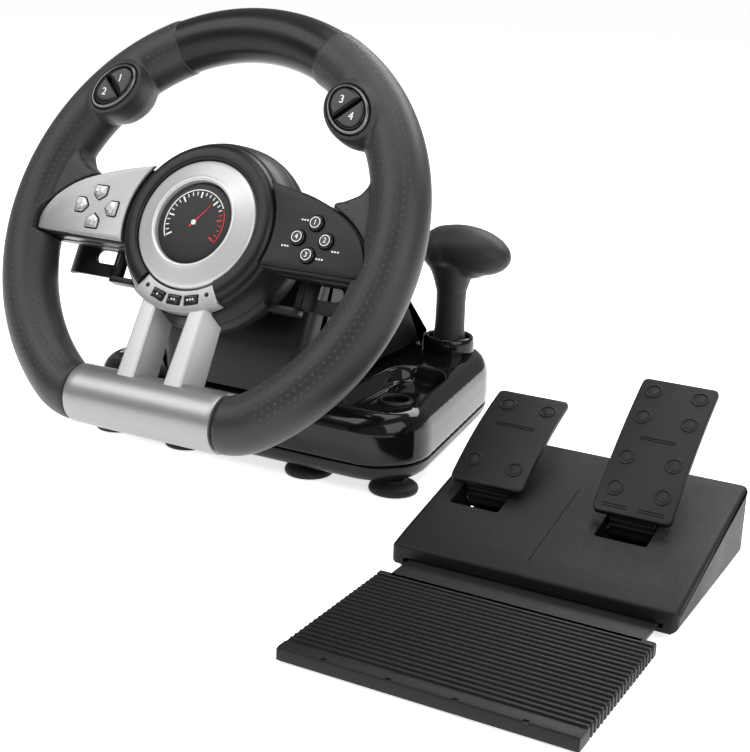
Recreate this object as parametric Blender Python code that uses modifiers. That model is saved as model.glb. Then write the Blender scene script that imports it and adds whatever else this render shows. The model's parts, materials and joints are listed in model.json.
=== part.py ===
"""Racing wheel: a tilting-rim steering wheel on a cup-footed base with a gear lever, and a pedal unit."""

import math

import bmesh
import bpy
from mathutils import Matrix, Vector

MM = 0.001

# Fits
GAP = 0.4 * MM
SLIDE_FIT = 0.4 * MM

# Steering axis
HUB_HEIGHT = 150 * MM
TILT = math.radians(29)

# Rim: a circle closed by a straight bottom bar
RIM_RADIUS = 120 * MM
GRIP_TUBE = 16.5 * MM
TOP_TUBE = 15.5 * MM
BAR_TUBE = 17 * MM
BAR_DROP = 105 * MM
BLEND_RADIUS = 30 * MM
TOP_JOINT = math.radians(55)

# Hub
RING_RADIUS = 38 * MM
CAP_RADIUS = 24 * MM
BEZEL_RADIUS = 48.5 * MM
HUB_RADIUS = 55 * MM
HUB_SPLIT = -8 * MM
HUB_BACK = -44 * MM
HUB_WALL = 2.6 * MM
SEAT_DEPTH = 2.6 * MM
SHAFT_RADIUS = 9 * MM

# Side arms and their panels
ARM_TOP = 7.5 * MM
ARM_SPLIT = -2 * MM
ARM_BACK = -12 * MM
ARM_MARGIN = 1.2 * MM
ARM_SKIN = 4.4 * MM
ARM_WALL = 2.4 * MM
PANEL_THICKNESS = 2.5 * MM
PANEL_REACH = RIM_RADIUS - 11 * MM
PANEL_LOW = -16.5 * MM

# Buttons
DPAD_CENTRE = (-71 * MM, 1.5 * MM)
DPAD_REACH = (10.5 * MM, 8.6 * MM)
DPAD_KEY = 8.6 * MM
FACE_CENTRE = (75.5 * MM, 0.8 * MM)
FACE_REACH = (8.8 * MM, 9.2 * MM)
FACE_RADIUS = 4.5 * MM
FLANGE_RADIUS = 5.4 * MM
STEM_RADIUS = 2 * MM
BUTTON_STAND = 1.6 * MM
BUTTON_TRAVEL = 1 * MM
MENU_RADIUS = 44.6 * MM
MENU_STEP = math.radians(14.5)
MENU_SIZE = (8.6 * MM, 5.2 * MM)

# Lower plate and spokes
PLATE_OUTER = 51.5 * MM
PLATE_HALF_ANGLE = math.radians(34)
PLATE_BACK = 2 * MM
PLATE_FRONT = 11.5 * MM
SPOKE_TOP = (11.5 * MM, 21.5 * MM)
SPOKE_FOOT = (10 * MM, 22 * MM)
SPOKE_DEPTH = 24 * MM

# Thumb pods on the grips
POD_ANGLE = math.radians(42.7)
POD_OFFSET = RIM_RADIUS - 12.4 * MM
POD_SIZE = (19.5 * MM, 15 * MM)
POD_BACK = -6 * MM
POD_TOP = 19 * MM
POD_RECESS = 5.5 * MM
BEZEL_WALL = 1.8 * MM
POD_WALL = 3 * MM

# Paddles
PADDLE_PIVOT = (62 * MM, -17 * MM)
PADDLE_TOP = -4 * MM
PADDLE_LOW = -32 * MM
PADDLE_REACH = 44 * MM
PIN_RADIUS = 1.2 * MM
KNUCKLE_RADIUS = 2.8 * MM

# Base
BASE_HALF = 122 * MM
BASE_FRONT = 26 * MM
BASE_REAR = 215 * MM
BASE_UNDER = 8 * MM
BASE_SEAM = 18 * MM
BASE_TOP = 50 * MM
BASE_WALL = 3 * MM
BASE_CORNER = 40 * MM
BASE_TAPER = 0.22
POCKET_X = (62 * MM, 106 * MM)
POCKET_Y = (44 * MM, 130 * MM)
POCKET_DEPTH = 9 * MM
SOCKET_RADIUS = 8 * MM
CUP_RADIUS = 15 * MM
CUP_STUB = 4 * MM
CUP_PLACES = ((102 * MM, 47 * MM), (45 * MM, 45 * MM), (72 * MM, 188 * MM))

# Column
COLUMN_HALF = 52 * MM
COLUMN_FACE = -50 * MM
COLUMN_HALF_HEIGHT = 42 * MM
COLUMN_END = -140 * MM
COLUMN_FOOT_REAR = 186 * MM
COLUMN_WALL = 3 * MM
FACE_WALL = 6 * MM
BEARING_RADIUS = 14 * MM
BEARING_LENGTH = 5.4 * MM
WEB_FRONT = -120 * MM
WEB_BACK = -126 * MM
GEAR_RADIUS = 24 * MM
GEAR_WIDTH = 6 * MM
GEAR_FRONT = -104 * MM
PINION_RADIUS = 10 * MM

# Gear lever
LEVER_PLACE = (69.5 * MM, 182 * MM)
LEVER_PIVOT = 52 * MM
BALL_RADIUS = 12.6 * MM
STEM_WAIST = 9.6 * MM
LEVER_TOP = 46 * MM
KNOB_SIZE = (32 * MM, 20 * MM, 17.5 * MM)
KNOB_SHIFT = (8 * MM, 3 * MM)
KNOB_CENTRE = 66 * MM
COLLAR_RADIUS = 16.9 * MM
COLLAR_HEIGHT = 10 * MM

# Pedal unit
PEDAL_PLACE = (229 * MM, -52 * MM)
PEDAL_HALF = 76 * MM
PEDAL_DEPTH = 114 * MM
PEDAL_REAR_HEIGHT = 43 * MM
PEDAL_LIP = 15 * MM
PEDAL_WALL = 2.4 * MM
PEDAL_EDGE = 2.3 * MM
PEDAL_FLOOR = 1.9 * MM
FLOOR_PLATE = 2.2 * MM
AXLE_PLACE = (66 * MM, 22 * MM)
AXLE_RADIUS = 3 * MM
BRAKE_X = -50 * MM
THROTTLE_X = 31 * MM
PAD_WIDTH = 42 * MM
BRAKE_LENGTH = 71 * MM
THROTTLE_LENGTH = 88 * MM
BRAKE_SLOPE = math.radians(28)
THROTTLE_SLOPE = math.radians(37)
PAD_THICKNESS = 3.6 * MM
PAD_FOOT = (-10 * MM, 12.4 * MM)
PAD_BOW = 2.8 * MM
PEDAL_ARM_WIDTH = 26 * MM
SLOT_MARGIN = 1.5 * MM
SPRING_RADIUS = 4.4 * MM
SPRING_WIRE = 0.8 * MM
SPRING_PLACE = 21 * MM
FOOT_RADIUS = 8 * MM
REST_HALF = 72 * MM
REST_DEPTH = 97 * MM
REST_TOP = 8 * MM
REST_UNDER = 0.8 * MM
TONGUE_HALF = 66 * MM
TONGUE_SHOWN = 18 * MM
TONGUE_INSIDE = 36 * MM
TONGUE_THICKNESS = 3.4 * MM
REST_RIBS = 20

COLOURS = {
    "leather": ((0.012, 0.012, 0.013), 0.55, 0.0),
    "black": ((0.01, 0.01, 0.011), 0.35, 0.0),
    "gloss": ((0.006, 0.006, 0.007), 0.12, 0.0),
    "silver": ((0.42, 0.42, 0.43), 0.38, 0.75),
    "steel": ((0.5, 0.5, 0.51), 0.3, 1.0),
    "rubber": ((0.008, 0.008, 0.008), 0.75, 0.0),
    "board": ((0.01, 0.09, 0.03), 0.5, 0.0),
    "pedal": ((0.018, 0.018, 0.019), 0.6, 0.0),
}

for old in list(bpy.data.objects):
    bpy.data.objects.remove(old, do_unlink=True)

parts = bpy.data.collections.new("racing_wheel")
cutters = bpy.data.collections.new("cutters")
bpy.context.scene.collection.children.link(parts)
bpy.context.scene.collection.children.link(cutters)


def empty(name, parent=None, location=(0, 0, 0), rotation=(0, 0, 0)):
    """An axis or a unit's own frame."""
    made = bpy.data.objects.new(name, None)
    parts.objects.link(made)
    made.parent = parent
    made.location = location
    made.rotation_euler = rotation
    made.empty_display_size = 0.02
    return made


def finish(name, mesh, parent, location=(0, 0, 0), rotation=(0, 0, 0), look=None):
    """Makes the object: a part when it has a look, a cutter when it has none."""
    made = bpy.data.objects.new(name, mesh)
    made.parent = parent
    made.location = location
    made.rotation_euler = rotation
    if look is None:
        cutters.objects.link(made)
        made.hide_render = True
        made.display_type = "WIRE"
        return made
    parts.objects.link(made)
    colour, roughness, metallic = COLOURS[look]
    material = bpy.data.materials.new(name)
    material.use_nodes = True
    shader = material.node_tree.nodes["Principled BSDF"]
    shader.inputs["Base Color"].default_value = (*colour, 1)
    shader.inputs["Roughness"].default_value = roughness
    shader.inputs["Metallic"].default_value = metallic
    mesh.materials.append(material)
    mesh.shade_smooth()
    mesh.set_sharp_from_angle(angle=math.radians(40))
    return made


def bake(name, shape):
    """The mesh of a bmesh, with its faces turned outwards."""
    bmesh.ops.recalc_face_normals(shape, faces=shape.faces)
    mesh = bpy.data.meshes.new(name)
    shape.to_mesh(mesh)
    shape.free()
    return mesh


def box(name, low, high, parent, look=None, bevel=0.0, location=(0, 0, 0), rotation=(0, 0, 0)):
    """A box between two corners, with an optional rounded edge."""
    low = Vector(low)
    high = Vector(high)
    shape = bmesh.new()
    grow = Matrix.Diagonal((*(high - low), 1))
    bmesh.ops.create_cube(shape, size=1, matrix=Matrix.Translation((low + high) / 2) @ grow)
    made = finish(name, bake(name, shape), parent, location, rotation, look)
    if bevel:
        round_edges(made, bevel)
    return made


def round_edges(made, width, segments=2, angle=30):
    """Rounds the sharp edges."""
    bevel = made.modifiers.new("Bevel", "BEVEL")
    bevel.width = width
    bevel.segments = segments
    bevel.limit_method = "ANGLE"
    bevel.angle_limit = math.radians(angle)
    return bevel


def turned(name, profile, parent, look=None, steps=32, location=(0, 0, 0), rotation=(0, 0, 0)):
    """A turned shape round its local Z, from (radius, height) points; a ring when none is on the axis."""
    points = list(profile)
    pairs = zip(points, points[1:] + points[:1])
    if sum(a[0] * b[1] - b[0] * a[1] for a, b in pairs) > 0:
        points.reverse()
    ring = min(p[0] for p in points) > 1e-6
    if not ring:
        start = max(i for i, p in enumerate(points) if p[0] < 1e-6 and points[i - 1][0] < 1e-6)
        points = points[start:] + points[:start]
    mesh = bpy.data.meshes.new(name)
    count = len(points)
    edges = [(i, i + 1) for i in range(count - 1)]
    if ring:
        edges.append((count - 1, 0))
    mesh.from_pydata([(r, 0, z) for r, z in points], edges, [])
    made = finish(name, mesh, parent, location, rotation, look)
    screw = made.modifiers.new("Screw", "SCREW")
    screw.steps = steps
    screw.render_steps = steps
    screw.use_merge_vertices = True
    screw.merge_threshold = 0.00001
    return made


def rod(name, radius, low, high, parent, look=None, steps=24, location=(0, 0, 0), rotation=(0, 0, 0)):
    """A plain cylinder along its local Z."""
    profile = [(0, high), (radius, high), (radius, low), (0, low)]
    return turned(name, profile, parent, look, steps, location, rotation)


def plate(name, points, low, high, parent, look=None, location=(0, 0, 0), rotation=(0, 0, 0)):
    """A flat outline given thickness along its local Z."""
    curve = bpy.data.curves.new(name, "CURVE")
    curve.dimensions = "2D"
    curve.fill_mode = "BOTH"
    curve.extrude = (high - low) / 2
    spline = curve.splines.new("POLY")
    spline.points.add(len(points) - 1)
    for point, (x, y) in zip(spline.points, points):
        point.co = (x, y, 0, 1)
    spline.use_cyclic_u = True
    mesh = meshed(name, curve)
    mesh.transform(Matrix.Translation((0, 0, (low + high) / 2)))
    return finish(name, mesh, parent, location, rotation, look)


def meshed(name, curve):
    """A curve made a closed mesh."""
    guide = bpy.data.objects.new(name + "_curve", curve)
    parts.objects.link(guide)
    bpy.context.view_layer.update()
    graph = bpy.context.evaluated_depsgraph_get()
    mesh = bpy.data.meshes.new_from_object(guide.evaluated_get(graph))
    bpy.data.objects.remove(guide, do_unlink=True)
    shape = bmesh.new()
    shape.from_mesh(mesh)
    bmesh.ops.remove_doubles(shape, verts=shape.verts, dist=0.000001)
    bmesh.ops.recalc_face_normals(shape, faces=shape.faces)
    shape.to_mesh(mesh)
    shape.free()
    mesh.name = name
    return mesh


def tube(name, points, radius, parent, look=None, sides=16, location=(0, 0, 0)):
    """A round bar swept along points."""
    curve = bpy.data.curves.new(name, "CURVE")
    curve.dimensions = "3D"
    curve.bevel_depth = radius
    curve.bevel_resolution = (sides - 4) // 2
    curve.use_fill_caps = True
    spline = curve.splines.new("POLY")
    spline.points.add(len(points) - 1)
    for point, co in zip(spline.points, points):
        point.co = (*co, 1)
    return finish(name, meshed(name, curve), parent, location, (0, 0, 0), look)


def loft(name, rings, parent, look=None, location=(0, 0, 0), rotation=(0, 0, 0)):
    """Skins a row of closed sections that have equal numbers of points."""
    shape = bmesh.new()
    rows = [[shape.verts.new(p) for p in ring] for ring in rings]
    for first, second in zip(rows, rows[1:]):
        for i in range(len(first)):
            j = (i + 1) % len(first)
            shape.faces.new((first[i], first[j], second[j], second[i]))
    shape.faces.new(rows[0])
    shape.faces.new(rows[-1])
    return finish(name, bake(name, shape), parent, location, rotation, look)


def boolean(made, other, operation):
    step = made.modifiers.new(other.name, "BOOLEAN")
    step.operation = operation
    step.object = other
    step.solver = "EXACT"
    return made


def cut(made, *others):
    for other in others:
        boolean(made, other, "DIFFERENCE")
    return made


def join(made, *others):
    for other in others:
        boolean(made, other, "UNION")
    return made


def arc(radius, start, end, count, centre=(0, 0)):
    """Points on an arc, both ends included."""
    step = (end - start) / (count - 1)
    angles = [start + step * i for i in range(count)]
    return [(centre[0] + radius * math.cos(a), centre[1] + radius * math.sin(a)) for a in angles]


def square_ends(radius, start, end, count):
    """An arc with a short step at each end, so that a tube along it ends square to it."""
    short = math.copysign(math.radians(0.6), end - start)
    first = arc(radius, start, start, 2)[:1]
    last = arc(radius, end, end, 2)[:1]
    return first + arc(radius, start + short, end - short, count) + last


def mirrored(points, side):
    """The outline for the other side, in the same winding."""
    return list(points) if side > 0 else [(-x, y) for x, y in reversed(points)]


def grown(points, distance):
    """A counter-clockwise outline moved outwards by a distance."""
    moved = []
    for before, here, after in zip(points[-1:] + points[:-1], points, points[1:] + points[:1]):
        first = (Vector(here) - Vector(before)).normalized()
        second = (Vector(after) - Vector(here)).normalized()
        normal = Vector((first.y + second.y, -first.x - second.x)).normalized()
        reach = distance / max(0.5, normal.dot(Vector((first.y, -first.x))))
        moved.append((here[0] + normal.x * reach, here[1] + normal.y * reach))
    return moved


def rounded(half_x, low_y, high_y, corner, count=5):
    """A rounded rectangle, counter-clockwise."""
    right = half_x - corner
    low = low_y + corner
    high = high_y - corner
    quarter = math.pi / 2
    return (
        arc(corner, -quarter, 0, count, (right, low))
        + arc(corner, 0, quarter, count, (right, high))
        + arc(corner, quarter, 2 * quarter, count, (-right, high))
        + arc(corner, 2 * quarter, 3 * quarter, count, (-right, low))
    )


def ellipse(half_x, half_y, count=20, centre=(0, 0), turn=0.0):
    points = []
    for i in range(count):
        angle = 2 * math.pi * i / count
        spot = Matrix.Rotation(turn, 2) @ Vector((half_x * math.cos(angle), half_y * math.sin(angle)))
        points.append((centre[0] + spot.x, centre[1] + spot.y))
    return points


# Rim


def bar_half():
    """Half the straight bottom bar, where the rim's blend arcs end."""
    inner = RIM_RADIUS - BLEND_RADIUS
    drop = BAR_DROP - BLEND_RADIUS
    return math.sqrt(inner**2 - drop**2)


def grip_path(side):
    """The grip's centreline, from the top joint to the bottom bar."""
    half = bar_half()
    drop = BAR_DROP - BLEND_RADIUS
    blend = -math.atan2(drop, half)
    start = TOP_JOINT - GAP / RIM_RADIUS
    upper = square_ends(RIM_RADIUS, start, blend, 17)
    lower = arc(BLEND_RADIUS, blend, math.radians(-86.5), 6, (half, -drop))
    path = upper + lower[1:] + [(half + GAP, -BAR_DROP)]
    return [(side * x, y, 0) for x, y in path]


def panel_outline(inner):
    """The right panel, counter-clockwise, with its inner edge on an arc round the hub."""
    reach = PANEL_REACH
    low = PANEL_LOW
    start = math.asin(low / inner)
    outer = [
        (reach - 0.5 * MM, low),
        (reach + 0.5 * MM, low + 9.5 * MM),
        (reach - 3 * MM, low + 17 * MM),
        (reach - 8 * MM, low + 23.5 * MM),
        (reach - 17.5 * MM, low + 31 * MM),
        (reach - 29 * MM, low + 36.5 * MM),
    ]
    hub_side = arc(inner, math.radians(38), start, 7)
    return outer + hub_side


def arm_outline(extra=0.0):
    return grown(panel_outline(BEZEL_RADIUS + 0.2 * MM), ARM_MARGIN + extra)


def pod_frame(side):
    """Centre and turn of a thumb pod."""
    x = side * POD_OFFSET * math.cos(POD_ANGLE)
    y = POD_OFFSET * math.sin(POD_ANGLE)
    return (x, y), side * (POD_ANGLE - math.pi / 2)


def pod_outline(side, inset):
    centre, turn = pod_frame(side)
    return ellipse(POD_SIZE[0] - inset, POD_SIZE[1] - inset, 20, centre, turn)


def grip(name, side, axis):
    """The padded side of the rim, with the gusset over the arm's end and the thumb pod."""
    made = tube(name, grip_path(side), GRIP_TUBE, axis, "leather", 14)
    inner = PANEL_REACH - 25 * MM
    top = PANEL_LOW + 60 * MM
    outline = [
        (RIM_RADIUS, PANEL_LOW - 8 * MM),
        (RIM_RADIUS, top),
        (inner + 17 * MM, top),
        (inner + 14 * MM, top - 8 * MM),
        (inner + 8 * MM, top - 16 * MM),
        (inner - 2 * MM, top - 21 * MM),
        (inner, top - 30 * MM),
        (inner + 16 * MM, PANEL_LOW + 10 * MM),
        (inner + 20 * MM, PANEL_LOW - 3 * MM),
    ]
    gusset = plate(name + "_gusset", mirrored(outline, side), -10 * MM, 9 * MM, axis)
    pod = loft(
        name + "_pod",
        [
            [(x, y, z) for x, y in pod_outline(side, inset)]
            for z, inset in ((POD_BACK, 3 * MM), (8 * MM, 0), (POD_TOP - 2 * MM, 0), (POD_TOP, 1.5 * MM))
        ],
        axis,
    )
    arm = plate(
        name + "_arm_room",
        mirrored(arm_outline(GAP), side),
        ARM_BACK - GAP,
        60 * MM,
        axis,
    )
    recess = plate(
        name + "_pod_recess",
        pod_outline(side, POD_WALL),
        POD_TOP - POD_RECESS,
        60 * MM,
        axis,
    )
    return cut(join(made, gusset, pod), arm, recess)


def thumb_pieces(side, word, axis):
    """The bezel in a thumb pod and its two half-oval buttons."""
    floor = POD_TOP - POD_RECESS
    centre, turn = pod_frame(side)
    outer = pod_outline(side, POD_WALL + GAP)
    inner = pod_outline(side, POD_WALL + GAP + BEZEL_WALL)
    name = "thumb_bezel_" + word
    bezel = plate(name, outer, floor + GAP, POD_TOP + 0.6 * MM, axis, "silver")
    cut(bezel, plate(name + "_bore", inner, 0, 60 * MM, axis))
    shrink = POD_WALL + 2 * GAP + BEZEL_WALL
    for end in ("upper", "lower"):
        button = "thumb_button_" + word + "_" + end
        size = (POD_SIZE[0] - shrink, POD_SIZE[1] - shrink)
        made = plate(
            button,
            ellipse(*size),
            -POD_RECESS + 1.8 * MM,
            1.6 * MM,
            axis,
            "gloss",
            (*centre, POD_TOP),
            (0, 0, turn),
        )
        low = (0.35 * MM, -60 * MM, -60 * MM)
        high = (60 * MM, 60 * MM, 60 * MM)
        keep = box(button + "_half", low, high, axis)
        keep.location = (*centre, POD_TOP)
        turned_back = (end == "upper") == (side > 0)
        keep.rotation_euler = (0, 0, turn + (math.pi if turned_back else 0))
        boolean(made, keep, "INTERSECT")


def bottom_bar(axis):
    """The straight bar, its two spokes and the plate below the ring, in one moulding."""
    half = bar_half() - GAP
    made = tube("lower_spoke_bar", [(-half, -BAR_DROP, 0), (half, -BAR_DROP, 0)], BAR_TUBE, axis, "silver")
    for side, word in ((-1, "left"), (1, "right")):
        outline = [
            (SPOKE_FOOT[0], -BAR_DROP + 3 * MM),
            (SPOKE_FOOT[1], -BAR_DROP + 3 * MM),
            (SPOKE_TOP[1], -MENU_RADIUS + 4.6 * MM),
            (SPOKE_TOP[0], -MENU_RADIUS + 4.6 * MM),
        ]
        low = PLATE_FRONT - SPOKE_DEPTH
        join(made, plate("spoke_" + word, mirrored(outline, side), low, PLATE_FRONT - 0.2 * MM, axis))
    cut(made, hub_room(axis))
    join(made, plate("spoke_plate", sector(0.0, RING_RADIUS + 0.8 * MM), PLATE_BACK, PLATE_FRONT, axis))
    for i, word in enumerate(("left", "centre", "right")):
        cut(made, menu_shape("menu_well_" + word, i - 1, SLIDE_FIT, -20 * MM, 40 * MM, axis))
    return made


def sector(extra, inner):
    """The plate below the ring, as a part of an annulus."""
    outer = PLATE_OUTER + extra
    spread = PLATE_HALF_ANGLE + extra / RING_RADIUS
    middle = -math.pi / 2
    out = arc(outer, middle - spread, middle + spread, 15)
    back = arc(inner, middle + spread, middle - spread, 15)
    return out + back


def hub_room(axis):
    """Keeps the spokes clear of the hub's flank."""
    edge = GAP
    profile = [
        (0, PLATE_BACK + 1 * MM),
        (BEZEL_RADIUS + 2.6 * MM + edge, PLATE_BACK + 1 * MM),
        (HUB_RADIUS + edge, HUB_SPLIT),
        (HUB_RADIUS + 1.8 * MM + edge, HUB_SPLIT - 7 * MM),
        (HUB_RADIUS + 1.8 * MM + edge, HUB_BACK),
        (0, HUB_BACK),
    ]
    return turned("hub_room", profile, axis, None, 32)


def menu_shape(name, place, extra, low, high, axis, look=None):
    """A menu key's outline, on an arc below the ring."""
    angle = -math.pi / 2 + place * MENU_STEP
    x = MENU_SIZE[0] / 2 + extra
    y = MENU_SIZE[1] / 2 + extra
    outline = [(x, -y), (x, y), (-x, y), (-x, -y)]
    spot = (MENU_RADIUS * math.cos(angle), MENU_RADIUS * math.sin(angle), 0)
    return plate(name, outline, low, high, axis, look, spot, (0, 0, angle + math.pi / 2))


# Hub


def hub_front(axis):
    """The front shell: a dished bezel with the front half of both arms."""
    lip = PLATE_FRONT
    inner = HUB_RADIUS - HUB_WALL
    profile = [
        (SHAFT_RADIUS, SEAT_DEPTH),
        (RING_RADIUS + GAP, SEAT_DEPTH),
        (RING_RADIUS + GAP, lip - 1.5 * MM),
        (RING_RADIUS + 2.4 * MM, lip),
        (BEZEL_RADIUS - 2.5 * MM, lip - 1 * MM),
        (BEZEL_RADIUS, lip - 3.5 * MM),
        (HUB_RADIUS, HUB_SPLIT + GAP / 2),
        (inner, HUB_SPLIT + GAP / 2),
        (RING_RADIUS + 9 * MM, SEAT_DEPTH - HUB_WALL),
        (SHAFT_RADIUS, SEAT_DEPTH - HUB_WALL),
    ]
    made = turned("hub_front_shell", profile, axis, "black", 32)
    for side, word in ((-1, "left"), (1, "right")):
        shape = mirrored(arm_outline(), side)
        arm = plate("front_arm_" + word, shape, ARM_SPLIT + GAP / 2, ARM_TOP, axis)
        hollow = mirrored(grown(arm_outline(), -ARM_WALL - 6 * MM), side)
        cut(arm, plate("front_hollow_" + word, hollow, -20 * MM, ARM_TOP - ARM_SKIN, axis))
        join(made, arm)
    cut(made, plate("plate_room", sector(GAP, RING_RADIUS - 5 * MM), PLATE_BACK - GAP, 40 * MM, axis))
    button_rooms(made, axis)
    return made


def button_rooms(made, axis):
    """Counterbores and stem holes for the keys on both arms."""
    step = ARM_TOP - 2.2 * MM
    for word, spot in dpad_spots():
        key = grown(key_outline(), SLIDE_FIT)
        turn = (0, 0, key_turn(word))
        cut(made, plate("dpad_room_" + word, key, step, 40 * MM, axis, None, (*spot, 0), turn))
        cut(made, rod("dpad_hole_" + word, STEM_RADIUS + SLIDE_FIT, -20 * MM, 20 * MM, axis, None, 12, (*spot, 0)))
    for word, spot in face_spots():
        cut(made, rod("face_room_" + word, FLANGE_RADIUS + SLIDE_FIT, step, 40 * MM, axis, None, 20, (*spot, 0)))
        cut(made, rod("face_hole_" + word, STEM_RADIUS + SLIDE_FIT, -20 * MM, 20 * MM, axis, None, 12, (*spot, 0)))


def hub_rear(axis):
    """The rear shell: a dish with the back half of both arms and the paddle lugs."""
    wall = HUB_WALL
    radius = HUB_RADIUS
    split = HUB_SPLIT - GAP / 2
    back = HUB_BACK
    profile = [
        (SHAFT_RADIUS + GAP, back + 9 * MM),
        (SHAFT_RADIUS + GAP, back),
        (radius - 33 * MM, back),
        (radius - 31 * MM, back + 4 * MM),
        (radius - 15 * MM, back + 8 * MM),
        (radius - 1 * MM, back + 18 * MM),
        (radius + 1.5 * MM, split - 6.5 * MM),
        (radius, split),
        (radius - wall, split),
        (radius + 1.5 * MM - wall, split - 6.5 * MM),
        (radius - 1 * MM - wall, back + 19.5 * MM),
        (radius - 16 * MM, back + 11 * MM),
        (SHAFT_RADIUS + 4 * MM, back + 9 * MM),
    ]
    made = turned("hub_rear_shell", profile, axis, "black", 32)
    keep_out = [
        (0, 60 * MM),
        (HUB_RADIUS + GAP, 60 * MM),
        (HUB_RADIUS + GAP, split),
        (radius - wall, split),
        (radius - wall, -20 * MM),
        (0, -20 * MM),
    ]
    for side, word in ((-1, "left"), (1, "right")):
        shape = mirrored(arm_outline(), side)
        arm = plate("rear_arm_" + word, shape, ARM_BACK, ARM_SPLIT - GAP / 2, axis)
        hollow = mirrored(grown(arm_outline(), -ARM_WALL - 6 * MM), side)
        cut(arm, plate("rear_hollow_" + word, hollow, ARM_BACK + ARM_WALL, 20 * MM, axis))
        cut(arm, turned("rear_keep_out_" + word, keep_out, axis, None, 32))
        join(made, arm)
        add_lugs(made, side, word, axis)
    return made


def add_lugs(made, side, word, axis):
    """Two lugs that hold a paddle's pin."""
    pivot, depth = PADDLE_PIVOT
    inner = pivot - 16 * MM
    outer = pivot + KNUCKLE_RADIUS + 0.6 * MM
    spans = (
        (PADDLE_TOP + GAP, PADDLE_TOP + 4 * MM, "upper"),
        (PADDLE_LOW - 4 * MM, PADDLE_LOW - GAP, "lower"),
    )
    for low, high, word_end in spans:
        name = "lug_" + word + "_" + word_end
        ends = sorted((side * inner, side * outer))
        lug = box(name, (ends[0], low, depth - 3.6 * MM), (ends[1], high, depth + 5.5 * MM), axis)
        join(made, lug)
    reach = (PADDLE_LOW - 8 * MM, PADDLE_TOP + 2.4 * MM)
    hole = rod(
        "lug_hole_" + word,
        PIN_RADIUS + SLIDE_FIT,
        -reach[1],
        -reach[0],
        axis,
        None,
        12,
        (side * pivot, 0, depth),
        (math.pi / 2, 0, 0),
    )
    cut(made, hole)


def hub_trim(axis):
    """The silver ring and the cap inside it."""
    seat = SEAT_DEPTH + GAP
    front = PLATE_FRONT
    ring = [
        (CAP_RADIUS + GAP, seat),
        (CAP_RADIUS + GAP, front + 2.4 * MM),
        (CAP_RADIUS + 2 * MM, front + 3.4 * MM),
        (RING_RADIUS - 1.6 * MM, front - 0.4 * MM),
        (RING_RADIUS, front - 2 * MM),
        (RING_RADIUS, seat),
    ]
    turned("hub_ring", ring, axis, "silver", 36)
    cap = [
        (0, seat),
        (0, front + 1.4 * MM),
        (CAP_RADIUS * 0.6, front + 1.1 * MM),
        (CAP_RADIUS - 1 * MM, front + 0.4 * MM),
        (CAP_RADIUS, front - 0.6 * MM),
        (CAP_RADIUS, seat),
    ]
    turned("centre_cap", cap, axis, "black", 28)


def board(axis):
    """The circuit board inside the hub."""
    top = HUB_SPLIT + 2 * MM
    size = HUB_RADIUS - HUB_WALL - 6 * MM
    outline = rounded(size * 0.72, -size * 0.62, size * 0.62, 4 * MM, 3)
    plate("button_board", outline, top - 1.6 * MM, top, axis, "board")


# Panels and buttons


def dpad_spots():
    x, y = DPAD_CENTRE
    a, b = DPAD_REACH
    return (("up", (x, y + b)), ("down", (x, y - b)), ("left", (x - a, y)), ("right", (x + a, y)))


def face_spots():
    x, y = FACE_CENTRE
    a, b = FACE_REACH
    return (("top", (x, y + b)), ("bottom", (x, y - b)), ("left", (x - a, y)), ("right", (x + a, y)))


def key_turn(word):
    return {"up": 0.0, "left": math.pi / 2, "down": math.pi, "right": -math.pi / 2}[word]


def key_outline():
    """A five-sided key that points at the middle of its cross, here pointing down."""
    half = DPAD_KEY / 2
    return [(0, -half), (half, -half * 0.25), (half, half), (-half, half), (-half, -half * 0.25)]


def panels(axis):
    """Both panels, cut for their keys."""
    low = ARM_TOP + 0.3 * MM
    high = low + PANEL_THICKNESS
    shape = panel_outline(BEZEL_RADIUS + 1.5 * MM)
    left = plate("panel_left", mirrored(shape, -1), low, high, axis, "silver")
    right = plate("panel_right", shape, low, high, axis, "black")
    for word, spot in dpad_spots():
        key = grown(key_outline(), SLIDE_FIT)
        turn = (0, 0, key_turn(word))
        cut(left, plate("dpad_cut_" + word, key, -20 * MM, 40 * MM, axis, None, (*spot, 0), turn))
    for word, spot in face_spots():
        cut(right, rod("face_cut_" + word, FACE_RADIUS + SLIDE_FIT, -20 * MM, 40 * MM, axis, None, 20, (*spot, 0)))


def buttons(axis):
    """The keys on both arms and the three menu keys."""
    floor = ARM_TOP - 0.9 * MM
    top = ARM_TOP + 0.3 * MM + PANEL_THICKNESS + BUTTON_STAND
    foot = ARM_TOP - ARM_SKIN - 1.6 * MM
    for word, spot in dpad_spots():
        name = "dpad_" + word
        turn = (0, 0, key_turn(word))
        made = plate(name, key_outline(), floor, top, axis, "silver", (*spot, 0), turn)
        stem = rod(name + "_stem", STEM_RADIUS, foot, floor + 1 * MM, axis, None, 12, (*spot, 0))
        join(made, stem)
    for word, spot in face_spots():
        profile = [
            (0, foot),
            (0, top),
            (FACE_RADIUS - 0.8 * MM, top),
            (FACE_RADIUS, top - 0.8 * MM),
            (FACE_RADIUS, ARM_TOP - 0.1 * MM),
            (FLANGE_RADIUS, ARM_TOP - 0.1 * MM),
            (FLANGE_RADIUS, floor),
            (STEM_RADIUS, floor),
            (STEM_RADIUS, foot),
        ]
        turned("face_button_" + word, profile, axis, "gloss", 14, (*spot, 0))
    for i, word in enumerate(("left", "centre", "right")):
        low = PLATE_BACK + BUTTON_TRAVEL + 0.5 * MM
        menu_shape("menu_button_" + word, i - 1, 0.0, low, PLATE_FRONT + 1.2 * MM, axis, "black")


# Paddles


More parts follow.
